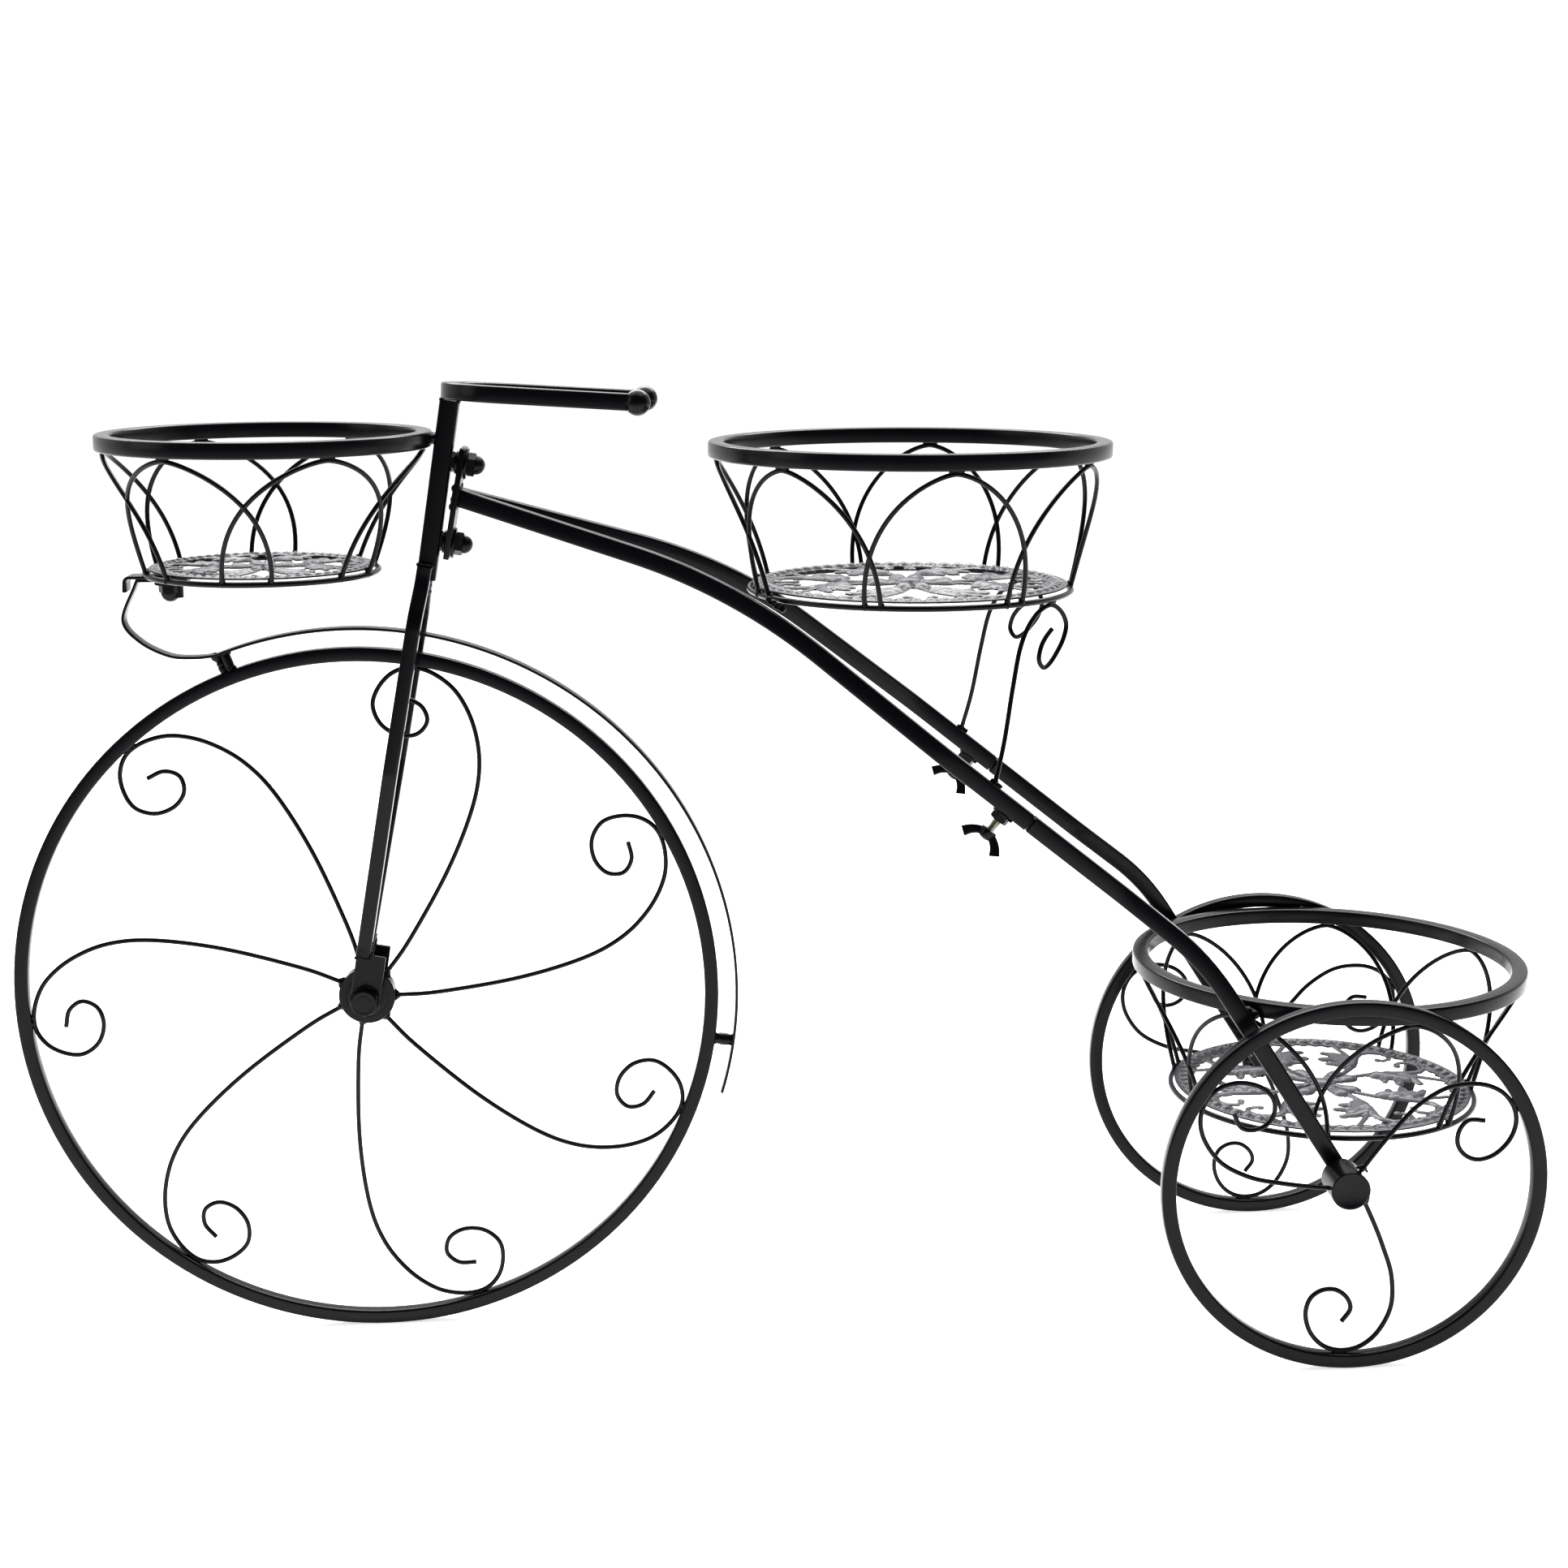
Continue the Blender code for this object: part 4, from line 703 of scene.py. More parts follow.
def cap_nut(name, place, axis, node):
    """A washer, a hexagon and a dome in one piece, its dome pointing along the axis."""
    low, high = CAP_WASHER, CAP_WASHER + CAP_HEX
    profile = dome(CAP_DOME_R, high, 90, 9)
    profile += [(CAP_DOME_R, high - CAP_SEAM), (CAP_FLAT, high - CAP_SEAM, -0.5),
                (CAP_FLAT, low + CAP_SEAM, 0.3), (CAP_FLAT * 0.98, low)]
    profile += [(CAP_WASHER_R - CAP_BREAK, low), (CAP_WASHER_R, low - CAP_BREAK), (CAP_WASHER_R, CAP_BREAK),
                (CAP_WASHER_R - CAP_BREAK, 0), (CAP_BORE_R, 0)]
    black(turned(name, profile, place, axis), "front_section", node)


for rise in STUD_RISES.values():
    for run in (Y_AXIS, post_up):
        weld_run("front_section", on_post(rise) + post_back * POST_SIDE / 2, run * STUD_WELD,
                 size=0.0014, count=4)
for name, rise in STUD_RISES.items():
    seat = on_post(rise) + post_back * (HEAD_OFFSETS[name] + HEAD_PLATE[0] / 2 + GAP)
    cap_nut(f"head_cap_{name}", seat, post_back, f"head_cap_nut_{name}")

# Handlebar: a square tube bent to a U and laid on the post's cut top, falling a little to the rear, with
# a pressed steel ball welded on each open end.
BAR_SIDE, BAR_SLOPE, BAR_ROLL = 0.0090, math.radians(5.3), math.radians(1.4)
BAR_BEND_R, BAR_LENGTHS, BAR_FLARE = 0.0360, (0.0970, 0.1000), 0.0045
BALL_R = 0.0070
BAR_WELD = 0.0035
bar_up, bar_back = leaning(BAR_SLOPE)
post_corner = POST_SIDE / 2 * (math.sin(POST_RAKE) - math.tan(BAR_SLOPE) * math.cos(POST_RAKE))
bar_rise = BAR_SIDE / 2 / math.cos(BAR_SLOPE) + post_corner
bar_front = post_top + Vector((0, 0, bar_rise + GAP))
bend = [(BAR_BEND_R * (1 - math.cos(math.radians(a))), BAR_BEND_R * math.sin(math.radians(a)))
        for a in range(-90, 91, 4)]
plan = [(BAR_LENGTHS[0], -BAR_BEND_R - BAR_FLARE), *bend, (BAR_LENGTHS[1], BAR_BEND_R + BAR_FLARE)]
bar_across = Y_AXIS * math.cos(BAR_ROLL) - bar_up * math.sin(BAR_ROLL)
bar_route = [bar_front + bar_back * run + bar_across * y for run, y in plan]
black(swept("handlebar_tube", bar_route, rounded(BAR_SIDE, BAR_SIDE, TUBE_CORNER), bar_up), "front_section",
      "handlebar")
for end, before, name in ((bar_route[0], bar_route[1], "left"), (bar_route[-1], bar_route[-2], "right")):
    away = (end - before).normalized()
    ball = dome(BALL_R, BALL_R * 0.75 + GAP, 132, 6)
    ball += [(BALL_R * 0.66, GAP), (0, GAP)]
    black(turned(f"bar_ball_{name}", ball, end, away), "front_section", f"handlebar_ball_{name}")
    neck = [end + toward(math.radians(60 * k), Y_AXIS, bar_up) * (BAR_SIDE * 0.42) for k in range(7)]
    for one, two in zip(neck, neck[1:]):
        weld("front_section", one, two, size=0.0011, count=3, wander=0.15)
for face in (-1, 1):
    seat = post_top + post_back * (face * POST_SIDE / 2 * 0.9)
    weld_run("front_section", seat, Y_AXIS * BAR_WELD, size=0.0010, count=7, wander=0.15)

# Fender: a flat strip rolled round the wheel's top, its front end curled up to a lap under the front
# basket. Two short pins weld it to the rim; the rear one is drawn out to a bead.
FENDER_R, FENDER_WIDTH, FENDER_THICK = 0.2105, 0.0090, 0.0016
FENDER_REAR, FENDER_FRONT = -18.5, 109.5
FENDER_CURL_SHARES = [(-0.3900, 0.9400), (-0.4550, 0.9480), (-0.5270, 0.9880), (-0.5660, 1.0460)]
STRIP_CORNER = 0.0006
STUB_R = 0.0028
# Each pin's place in degrees round the wheel, and its waist as a share of its radius.
STUBS = {"front": (108.3, 1.05), "rear": (-10.0, 1.28)}
BASKET_TILT = math.radians(2.0)
basket_up, basket_back = leaning(BASKET_TILT)
RING_WIRE_R, PLATE_THICK = 0.0016, 0.0012
BASKETS = {
    "front": dict(x=-0.0345, z=0.5154, rim_r=0.0905, foot_r=0.0632, depth=0.0684, lean=0.055, start=-24.0,
                  slips=(-3.6, -5.0, -5.0, -2.0, -2.3, 0.0), spread=41.0, plate_turn=10.0,
                  body="front_section"),
    "middle": dict(x=0.3160, z=0.4971, rim_r=0.1100, foot_r=0.0885, depth=0.0735, lean=-0.015, start=8.0,
                   slips=(0.0, -1.0, 6.5, 6.0, 8.0, 3.0, 0.0), spread=28.5, plate_turn=0.0,
                   body="front_section"),
    "rear": dict(x=0.5490, z=0.1951, rim_r=0.1100, foot_r=0.0855, depth=0.0724, lean=0.0, start=11.0,
                 slips=(0.0,) * 7, spread=28.5, plate_turn=36.0, body="rear_section"),
}
GROUND = Vector((FRONT_AXLE.x, 0, 0))


def in_basket(basket, back, side, up):
    """A point in a basket's own tilted frame: back, to the right, and up from its rim's middle."""
    return (GROUND + Vector((basket["x"], 0, basket["z"])) + basket_back * (back + basket["lean"] * up)
            + Y_AXIS * side + basket_up * up)


BRACKET_THICK, BRACKET_BEND_R = 0.0018, 0.0030
BRACKET_FRONT, BRACKET_BOLT = -0.0746, -0.0508
front = BASKETS["front"]
bracket_drop = -front["depth"] - PLATE_THICK - GAP - 2 * RING_WIRE_R - GAP - BRACKET_THICK / 2
lap_drop = bracket_drop - BRACKET_THICK / 2 - GAP - FENDER_THICK / 2


def under_front(back, drop):
    """A point on the middle line under the front basket, by how far it lies back and down."""
    return in_basket(front, back / basket_back.x, 0, drop)


def on_wheel(radius, degrees):
    """A point in the front wheel's plane, by its distance and its angle from the axle."""
    return FRONT_AXLE + toward(math.radians(degrees), X_AXIS, Z_AXIS) * radius


lap_front = under_front(BRACKET_FRONT + BRACKET_BEND_R + BRACKET_THICK + FENDER_THICK, lap_drop)
lap_rear = under_front(BRACKET_BOLT + CAP_WASHER_R + BRACKET_THICK, lap_drop)
route = [on_wheel(FENDER_R, FENDER_REAR + (FENDER_FRONT - FENDER_REAR) * k / 90) for k in range(91)]
curl = [route[-1]] + [FRONT_AXLE + Vector((x, 0, z)) * FENDER_R for x, z in FENDER_CURL_SHARES]
curl += [lap_front - basket_back * FENDER_THICK - basket_up * BRACKET_THICK * 2, lap_front]
route += through(curl, 60)[1:] + [lap_rear]
strap = swept("fender_strip", route, rounded(FENDER_THICK, FENDER_WIDTH, STRIP_CORNER), Y_AXIS)
black(strap, "front_section", "fender_strap")
stub_from, stub_to = FRONT_WHEEL_R + GAP, FENDER_R - FENDER_THICK / 2 - GAP
stub_mid, stub_half = (stub_from + stub_to) / 2, (stub_to - stub_from) / 2
for name, (degrees, waist) in STUBS.items():
    profile = [(0, stub_half)]
    for k in range(13):
        share = 1 - k / 6
        bulge = waist - (waist - 1.0) * abs(share) ** 2
        profile.append((STUB_R * bulge * (1 if abs(share) < 1 else 0.97), stub_half * share))
    profile.append((0, -stub_half))
    outward = on_wheel(1.0, degrees) - FRONT_AXLE
    black(turned(f"fender_pin_{name}", profile, on_wheel(stub_mid, degrees), outward, 24), "front_section",
          f"fender_stub_{name}")
    for radius in (stub_from, stub_to):
        for run in (Y_AXIS.cross(outward), Y_AXIS):
            weld_run("front_section", on_wheel(radius, degrees), run * STUB_R * 0.8, size=0.0013)

pin_side = on_wheel(stub_from + 0.0006, 109.2), on_wheel(stub_to + 0.0002, 109.6)
weld("front_section", *pin_side, size=0.0023, count=6, wander=0.25)

# Bracket: a folded strip welded under the front basket's ring, with its lip turned down at the front. A
# round-headed bolt through it and the fender's lap is held by a cap nut below.
BRACKET_WIDTH, BRACKET_LIP, BRACKET_REAR = 0.0140, 0.0080, -0.0200
BOLT_HEAD = ((0, 0.0012), (0.0030, 0.0011), (0.0050, 0.0007), (0.0060, 0.0001), (0.0060, 0))
BOLT_BELOW = 0.0085
lip = [under_front(BRACKET_FRONT, bracket_drop - BRACKET_LIP), under_front(BRACKET_FRONT, bracket_drop),
       under_front(BRACKET_REAR, bracket_drop)]
strip = swept("bracket_strip", filleted(lip, [BRACKET_BEND_R]),
              rounded(BRACKET_THICK, BRACKET_WIDTH, STRIP_CORNER), Y_AXIS)
black(strip, "front_section", "basket_bracket")
clamp = lap_drop - FENDER_THICK / 2 - GAP
bolt_top = bracket_drop + BRACKET_THICK / 2 + GAP
bolt_profile = [(radius, bolt_top + rise) for radius, rise in BOLT_HEAD]
bolt_profile += [(STUD_R, bolt_top), (STUD_R, clamp - BOLT_BELOW), (0, clamp - BOLT_BELOW)]
black(turned("bracket_round_bolt", bolt_profile, under_front(BRACKET_BOLT, 0), basket_up), "front_section",
      "bracket_bolt")
cap_nut("bracket_cap", under_front(BRACKET_BOLT, clamp), -basket_up, "bracket_cap_nut")

# Baskets: a rolled square-tube rim, and a cage of wire arches that lean out from a wire ring and cross
# one another. The arches are bent alike and set by eye, each a few degrees off; their feet sit on the ring.
RIM_TUBE, ARCH_WIRE_R = 0.0087, 0.0013
APEX_WELD, FOOT_WELD = 0.0032, 0.0024
ARCH_POWER, ARCH_LEAN, ARCH_HALF_STEPS = 0.65, 0.0004, 26


def arch_bearing(basket, k):
    """An arch's place round its basket, in degrees."""
    return basket["start"] + 360 / len(basket["slips"]) * k + basket["slips"][k]


def arch_route(basket, k, low, high):
    """One pointed arch from its left foot on the ring, up to the rim's underside and down again."""
    route = []
    for step in range(-ARCH_HALF_STEPS, ARCH_HALF_STEPS + 1):
        height = math.cos(abs(step) / ARCH_HALF_STEPS * math.pi / 2)
        spread = math.copysign((1 - height ** 2) ** ARCH_POWER, step) * basket["spread"]
        angle = math.radians(arch_bearing(basket, k) + spread)
        lean = ARCH_LEAN * step / ARCH_HALF_STEPS * math.sqrt(max(height, 0))
        top_r = basket["rim_r"] - RIM_TUBE / 2
        radius = basket["foot_r"] + (top_r - basket["foot_r"]) * height + lean
        route.append(in_basket(basket, radius * math.sin(angle), -radius * math.cos(angle),
                               low + (high - low) * height))
    return route


def weld_where(body, one, other, size, count, spread, along=None):
    """Weld two routes together where they pass closest, spread along the second or a given direction."""
    a, b = min(((a, b) for a in one for b in other), key=lambda pair: (pair[0] - pair[1]).length)
    i = min(other.index(b), len(other) - 2)
    run = (along or (other[i + 1] - other[i]).normalized()) * spread
    weld_run(body, (a + b) / 2, run, size, count)


for name, basket in BASKETS.items():
    middle = in_basket(basket, 0, 0, 0)
    tube_ring(f"{name}_rim_tube", middle, basket["rim_r"], RIM_TUBE, basket_up, basket_back, basket["body"],
              f"{name}_basket_rim")
    low = -basket["depth"] - PLATE_THICK - GAP - RING_WIRE_R
    high = -RIM_TUBE / 2 - GAP - ARCH_WIRE_R
    arches = wires(f"{name}_arches", [arch_route(basket, k, low, high) for k in range(len(basket["slips"]))],
                   ARCH_WIRE_R, sides=12)
    ring_line = circle_path(in_basket(basket, 0, 0, low), basket["foot_r"], basket_up, basket_back)
    ring = wires(f"{name}_foot_ring", [ring_line], RING_WIRE_R, cyclic=True)
    black(joined(f"{name}_wire_cage", [arches, ring]), basket["body"], f"{name}_basket_cage", smooth=60)
    for k in range(len(basket["slips"])):
        bearing = math.radians(arch_bearing(basket, k))
        sideways = toward(bearing, basket_back, Y_AXIS)
        reach = basket["rim_r"] - RIM_TUBE / 2
        apex = in_basket(basket, reach * math.sin(bearing), -reach * math.cos(bearing), high + ARCH_WIRE_R)
        weld_run(basket["body"], apex, sideways * APEX_WELD, size=0.0011, count=6)
        for lean in (-1, 1):
            spot = bearing + math.radians(basket["spread"]) * lean
            reach = basket["foot_r"]
            foot = in_basket(basket, reach * math.sin(spot), -reach * math.cos(spot), low)
            weld(basket["body"], foot, foot + basket_up * FOOT_WELD, size=0.0016, count=3, wander=0.2)
rim_line = circle_path(in_basket(front, 0, 0, 0), front["rim_r"], basket_up, basket_back)
post_face = [post_foot.lerp(post_top, k / 60) - post_back * POST_SIDE / 2 for k in range(61)]
weld_where("front_section", post_face, rim_line, size=0.0024, count=6, spread=0.0030)

# Openwork plates: a thin steel disc stamped through and embossed, one lying on each basket's foot ring.
# A rosette of four petals sits in the middle, leaves and scrolls fill four quarters, and beads run round
# the border. The coat is the same black, and its high places catch the light, helped by a painted
# highlight that greys their colour.
PLATE_QUARTERS = 4
PLATE_ROWS, PLATE_COLUMNS = 112, 144
PLATE_SHEET = 0.0009
PLATE_RELIEF_SHARE = 0.42
BEADS_PER_QUARTER = 16
BORDER_FROM_SHARE, BORDER_WAVE_SHARE = 0.868, 0.010
BEAD_AT_SHARE, BEAD_HALF_SHARES, BEAD_LEAN = 0.932, (0.058, 0.042), 0.45
ROLL_AT_SHARE, ROLL_HALF_SHARE = 0.985, 0.022
# A dimple in each petal, a groove round the rosette's middle and one along each leaf's stem, each as its
# place, its half-width and its depth in shares of the radius.
DIMPLE, GROOVE, STEM = (0.15, 0.022, 0.018), (0.085, 0.012, 0.020), (0.08, 0.010, 0.010)
# Each stroke runs through (share of the radius, degrees from the quarter's middle), and tapers between
# two half-widths, which are shares of the radius. Every stroke has its mirrored twin.
STROKE_SHARES = [
    ([(0.02, 0.0), (0.022, 1.0)], 0.072, 0.072),
    ([(0.07, 14.0), (0.16, 15.5), (0.235, 14.0)], 0.030, 0.062),
    ([(0.29, 8.0), (0.36, 10.0), (0.42, 11.0), (0.50, 15.0)], 0.020, 0.024),
    ([(0.46, 13.0), (0.58, 18.0), (0.70, 25.0), (0.80, 30.5), (0.90, 35.0)], 0.026, 0.016),
    ([(0.46, 17.0), (0.55, 25.0), (0.62, 31.0)], 0.066, 0.046),
    ([(0.47, 15.0), (0.475, 24.0), (0.455, 33.0)], 0.050, 0.024),
    ([(0.54, 18.0), (0.565, 29.0), (0.545, 39.0)], 0.058, 0.028),
    ([(0.62, 22.0), (0.665, 31.0), (0.685, 38.5)], 0.054, 0.024),
    ([(0.52, 15.0), (0.62, 18.0), (0.70, 20.0), (0.78, 19.5), (0.845, 16.5), (0.875, 11.0), (0.855, 6.0),
      (0.80, 3.6), (0.745, 4.2)], 0.036, 0.015),
    ([(0.725, 6.6), (0.726, 6.8)], 0.025, 0.025),
    ([(0.865, 15.0), (0.90, 19.0)], 0.020, 0.024),
]


def plate_fields(reach, turn):
    """For arrays of radius shares and angles: how far inside the metal each place is, and how high it is."""
    across, along = reach * np.cos(turn), reach * np.sin(turn)
    inside, height = np.full(reach.shape, -1.0), np.zeros(reach.shape)
    for points, wide, narrow in STROKE_SHARES:
        for sign in (1, -1):
            places = [(r * math.cos(math.radians(a)), sign * r * math.sin(math.radians(a)))
                      for r, a in points]
            for i, ((ax, ay), (bx, by)) in enumerate(zip(places, places[1:])):
                run = ((bx - ax) ** 2 + (by - ay) ** 2)
                share = np.clip(((across - ax) * (bx - ax) + (along - ay) * (by - ay)) / run, 0, 1)
                gap = np.hypot(across - ax - share * (bx - ax), along - ay - share * (by - ay))
                width = wide + (narrow - wide) * (i + share) / (len(places) - 1)
                inside = np.maximum(inside, width - gap)
                height = np.maximum(height, width * np.clip(1 - (gap / width) ** 2, 0, 1))
    bead_turn = 2 * math.pi / PLATE_QUARTERS / BEADS_PER_QUARTER
    near = (np.floor(turn / bead_turn) + 0.5) * bead_turn
    u, v = (reach - BEAD_AT_SHARE), (turn - near) * reach
    long, short = BEAD_HALF_SHARES
    egg = ((u + v * BEAD_LEAN) / long) ** 2 + ((v - u * BEAD_LEAN) / short) ** 2
    bead = long * np.clip(1 - egg, 0, 1) ** 0.7
    scallop = BORDER_FROM_SHARE + BORDER_WAVE_SHARE * np.cos(turn / bead_turn * 2 * math.pi)
    border = np.minimum(reach - scallop, 1.0 - reach)
    inside = np.maximum(inside, border)
    roll = ROLL_HALF_SHARE * np.sqrt(np.clip(1 - ((reach - ROLL_AT_SHARE) / ROLL_HALF_SHARE) ** 2, 0, 1))
    height = np.maximum(height, np.maximum(bead, roll) * (border > -0.02))
    petal = np.hypot(across - DIMPLE[0], np.abs(along) - 0.042)
    height = height - DIMPLE[2] * np.exp(-(petal / DIMPLE[1]) ** 2)
    height = height - GROOVE[2] * np.exp(-((reach - GROOVE[0]) / GROOVE[1]) ** 2)
    height = height - STEM[2] * np.exp(-(np.abs(along) / STEM[1]) ** 2) * (reach > STEM[0]) * (reach < 0.30)
    return inside, height


def plate_quarter(radius):
    """One quarter of the sheet's face, its openings cut where the field crosses zero."""
    rows, columns = np.meshgrid(np.arange(PLATE_ROWS + 1), np.arange(PLATE_COLUMNS + 1), indexing="ij")
    reach = rows / PLATE_ROWS
    turn = (columns / PLATE_COLUMNS - 0.5) * 2 * math.pi / PLATE_QUARTERS
    inside, height = plate_fields(reach, turn)
    shape = bmesh.new()
    relief = shape.verts.layers.float.new("relief")
    made = {}

    def corner(a, b=None):
        key = (a, b) if b is None or a < b else (b, a)
        if key not in made:
            share = 0 if b is None else inside[a] / (inside[a] - inside[b])
            r, t, h = ((1 - share) * field[a] + share * field[b or a] for field in (reach, turn, height))
            made[key] = shape.verts.new((r * math.cos(t) * radius, r * math.sin(t) * radius,
                                         max(h, 0) * radius * PLATE_RELIEF_SHARE))
            made[key][relief] = h
        return made[key]

    for i in range(PLATE_ROWS):
        for j in range(PLATE_COLUMNS):
            cell = [(i, j), (i + 1, j), (i + 1, j + 1), (i, j + 1)]
            face = []
            for a, b in zip(cell, cell[1:] + cell[:1]):
                if inside[a] > 0:
                    face.append(corner(a))
                if (inside[a] > 0) != (inside[b] > 0):
                    face.append(corner(a, b))
            if len(face) > 2:
                shape.faces.new(face)
    return made_of("plate_quarter", shape, closed=False)


def turned_sheets_tree():
    """Turns an open sheet about Z a number of times and fuses the copies along their shared edges."""
    tree, given, out = new_tree("turned_sheets", ("Count", "Int"), ("Fuse Within", "Float"))
    spots = chain(tree, "GeometryNodePoints", {"Count": given["Count"]})
    index = chain(tree, "GeometryNodeInputIndex", {})
    share = chain(tree, "ShaderNodeMath", {0: index[0], 1: given["Count"]}, operation="DIVIDE")
    turn = chain(tree, "ShaderNodeMath", {0: share[0], 1: 2 * math.pi}, operation="MULTIPLY")
    spin = chain(tree, "FunctionNodeAxisAngleToRotation", {"Axis": (0, 0, 1), "Angle": turn[0]})
    copies = chain(tree, "GeometryNodeInstanceOnPoints",
                   {"Points": spots[0], "Instance": given["Geometry"], "Rotation": spin[0]})
    solid = chain(tree, "GeometryNodeRealizeInstances", {"Geometry": copies[0]})
    fused = chain(tree, "GeometryNodeMergeByDistance",
                  {"Geometry": solid[0], "Distance": given["Fuse Within"]})
    return painted(tree, fused[0], given, out)


def plate_powder():
    """The black coat on the stamped sheet: glossier, with a painted highlight that greys its colour where the
    relief stands high.
    """
    made = powder("dark_stamped_plate", (0.010, 0.009, 0.013), (0.022, 0.020, 0.027), 0.34, 500, 0.000015,
                  specular=0.5)
    tree = made.node_tree
    shader = tree.nodes["Principled BSDF"].inputs
    # Painted highlight: where the relief stands high, the base colour is mixed toward grey to stand in for
    # light caught by the raised stamping. The recesses keep the near-black coat.
    relief = chain(tree, "ShaderNodeAttribute", {}, attribute_name="relief")
    rise = chain(tree, "ShaderNodeMapRange", {"Value": relief["Fac"], "From Min": 0.004, "From Max": 0.045})
    painted_highlight = chain(tree, "ShaderNodeMix", {"Factor": rise["Result"], "B": (0.082, 0.077, 0.092, 1),
                                         "A": shader["Base Color"].links[0].from_socket}, data_type="RGBA")
    tree.links.new(painted_highlight["Result"], shader["Base Color"])
    return made


TURNED_SHEETS = turned_sheets_tree()
PLATE_POWDER = plate_powder()
for name, basket in BASKETS.items():
    radius = basket["foot_r"] - ARCH_WIRE_R - 2 * GAP
    sheet = grown(plate_quarter(radius), TURNED_SHEETS, "openwork_sheet", Count=PLATE_QUARTERS,
                  Fuse_Within=radius * 1e-4, Material=PLATE_POWDER)
    wall = sheet.modifiers.new("wall", "SOLIDIFY")
    wall.thickness = PLATE_SHEET
    wall.offset = -1.0
    solid = baked(sheet)
    axes = Matrix((basket_back, Y_AXIS, basket_up)).transposed().to_4x4()
    lie = Matrix.Translation(in_basket(basket, 0, 0, -basket["depth"] - PLATE_THICK + PLATE_SHEET))
    solid.transform(lie @ axes @ Matrix.Rotation(math.radians(basket["plate_turn"]), 4, "Z"))
    plate = placed(f"{name}_openwork_plate", solid)
    settle(plate, basket["body"], PLATE_POWDER, "dark_stamped_plate", f"{name}_basket_plate", smooth=70)

# Frame tubes: two square tubes run side by side from the head plate, spread apart under the middle
# basket, and bend down to the rear axles. Each is sawn through at mid-length: the rear half carries a
# smaller square sleeve that slides into the front half.
TUBE_SIDE, TUBE_WALL = 0.0095, 0.0011
SLEEVE_LENGTH, SLEEVE_BORE = 0.0440, 0.0470
SLEEVE_CORNER, SLEEVE_ROOT = 0.0008, 0.0010
SLEEVE_NOSE, SLEEVE_NOSE_SHARES = 0.0006, (0.86, 0.86)
JOINT_X, JOINT_HALF_SLOT = 0.36848, 0.00075
TUBE_REACH, TUBE_STEP = 0.0040, 0.0040
EDGE_BREAK, MOUTH = 0.00025, (0.93, 0.93)
ROOT_INSET, ROOT_WELD, CHEEK_WELD = 0.0016, 0.0046, 0.0040
SIDE_BENDS = [(0.07301, 0.4790), (0.21718, 0.43048), (0.46020, 0.22540), (0.53710, 0.09840)]
SIDE_BEND_R = (0.297, 0.130)
PLAN_BENDS = [(0.07301, 0.0056), (0.32197, 0.0800), (0.41799, 0.0800), (0.47800, 0.0945), (0.53710, 0.0945)]
PLAN_BEND_R = 0.040
side_view = filleted([Vector((x, 0, z)) for x, z in SIDE_BENDS], SIDE_BEND_R, 40)
plan_view = filleted([Vector((x, y, 0)) for x, y in PLAN_BENDS], [PLAN_BEND_R] * 3, 12)


def crossing(path, x, axis):
    """A coordinate of a path where it crosses a distance behind the front axle."""
    before, after = next((pair for pair in zip(path, path[1:]) if x <= pair[1].x), path[-2:])
    return before[axis] + (after[axis] - before[axis]) * (x - before.x) / (after.x - before.x)


def on_tube(x, side):
    """A point of a frame tube's middle line, by its distance behind the front axle."""
    return GROUND + Vector((x, side * crossing(plan_view, x, 1), crossing(side_view, x, 2)))


def tube_route(start, end, side):
    """A stretch of a frame tube's middle line."""
    count = math.ceil((end - start) / TUBE_STEP)
    return [on_tube(start + (end - start) * k / count, side) for k in range(count + 1)]


upper_bend, lower_bend = (Vector((x, 0, z)) for x, z in SIDE_BENDS[1:3])
down_tube = (lower_bend - upper_bend).normalized()
off_tube = Vector((down_tube.z, 0, -down_tube.x))
tube_outline = rounded(TUBE_SIDE, TUBE_SIDE, TUBE_CORNER)
sleeve_side = TUBE_SIDE - 2 * TUBE_WALL - 2 * GAP
bore_share = (TUBE_SIDE - 2 * TUBE_WALL) / TUBE_SIDE
front_stop = JOINT_X - down_tube.x * JOINT_HALF_SLOT
rear_stop = JOINT_X + down_tube.x * JOINT_HALF_SLOT
tube_routes = {}
for side, name in SIDES:
    ahead = tube_route(SIDE_BENDS[0][0] - TUBE_REACH, front_stop, side)
    behind = tube_route(rear_stop, SIDE_BENDS[-1][0], side)
    ahead.insert(-1, ahead[-1] - down_tube * EDGE_BREAK)
    behind.insert(1, behind[0] + down_tube * EDGE_BREAK)
    ahead_ends, behind_ends = ([(1, 1)] * (len(route) - 1) for route in (ahead, behind))
    tube_routes[name] = ahead + behind
    fore = swept(f"front_frame_tube_{name}", ahead, tube_outline, swell=ahead_ends + [MOUTH],
                 bore=(bore_share, SLEEVE_BORE))
    black(fore, "front_section", f"front_tube_{name}")
    mouth = behind[0]
    sleeve_route = [mouth + down_tube * run
                    for run in (-SLEEVE_LENGTH, SLEEVE_NOSE - SLEEVE_LENGTH, SLEEVE_ROOT)]
    sleeve = swept("sleeve", sleeve_route, rounded(sleeve_side, sleeve_side, SLEEVE_CORNER),
                   swell=[SLEEVE_NOSE_SHARES, (1, 1), (1, 1)])
    aft = swept("tube", behind, tube_outline, swell=[MOUTH] + behind_ends)
    black(joined(f"rear_frame_tube_{name}", [aft, sleeve]), "rear_section", f"rear_tube_{name}")
    for face in (-1, 1):
        root = ahead[0] - post_back * ROOT_INSET + post_up * (face * TUBE_SIDE * 0.52)
        weld_run("front_section", root, Y_AXIS * ROOT_WELD, size=0.0022, count=7)
    cheek = ahead[0] - post_back * ROOT_INSET + Y_AXIS * (side * TUBE_SIDE * 0.5)
    weld_run("front_section", cheek, post_up * CHEEK_WELD, size=0.0018, count=7)
middle = BASKETS["middle"]
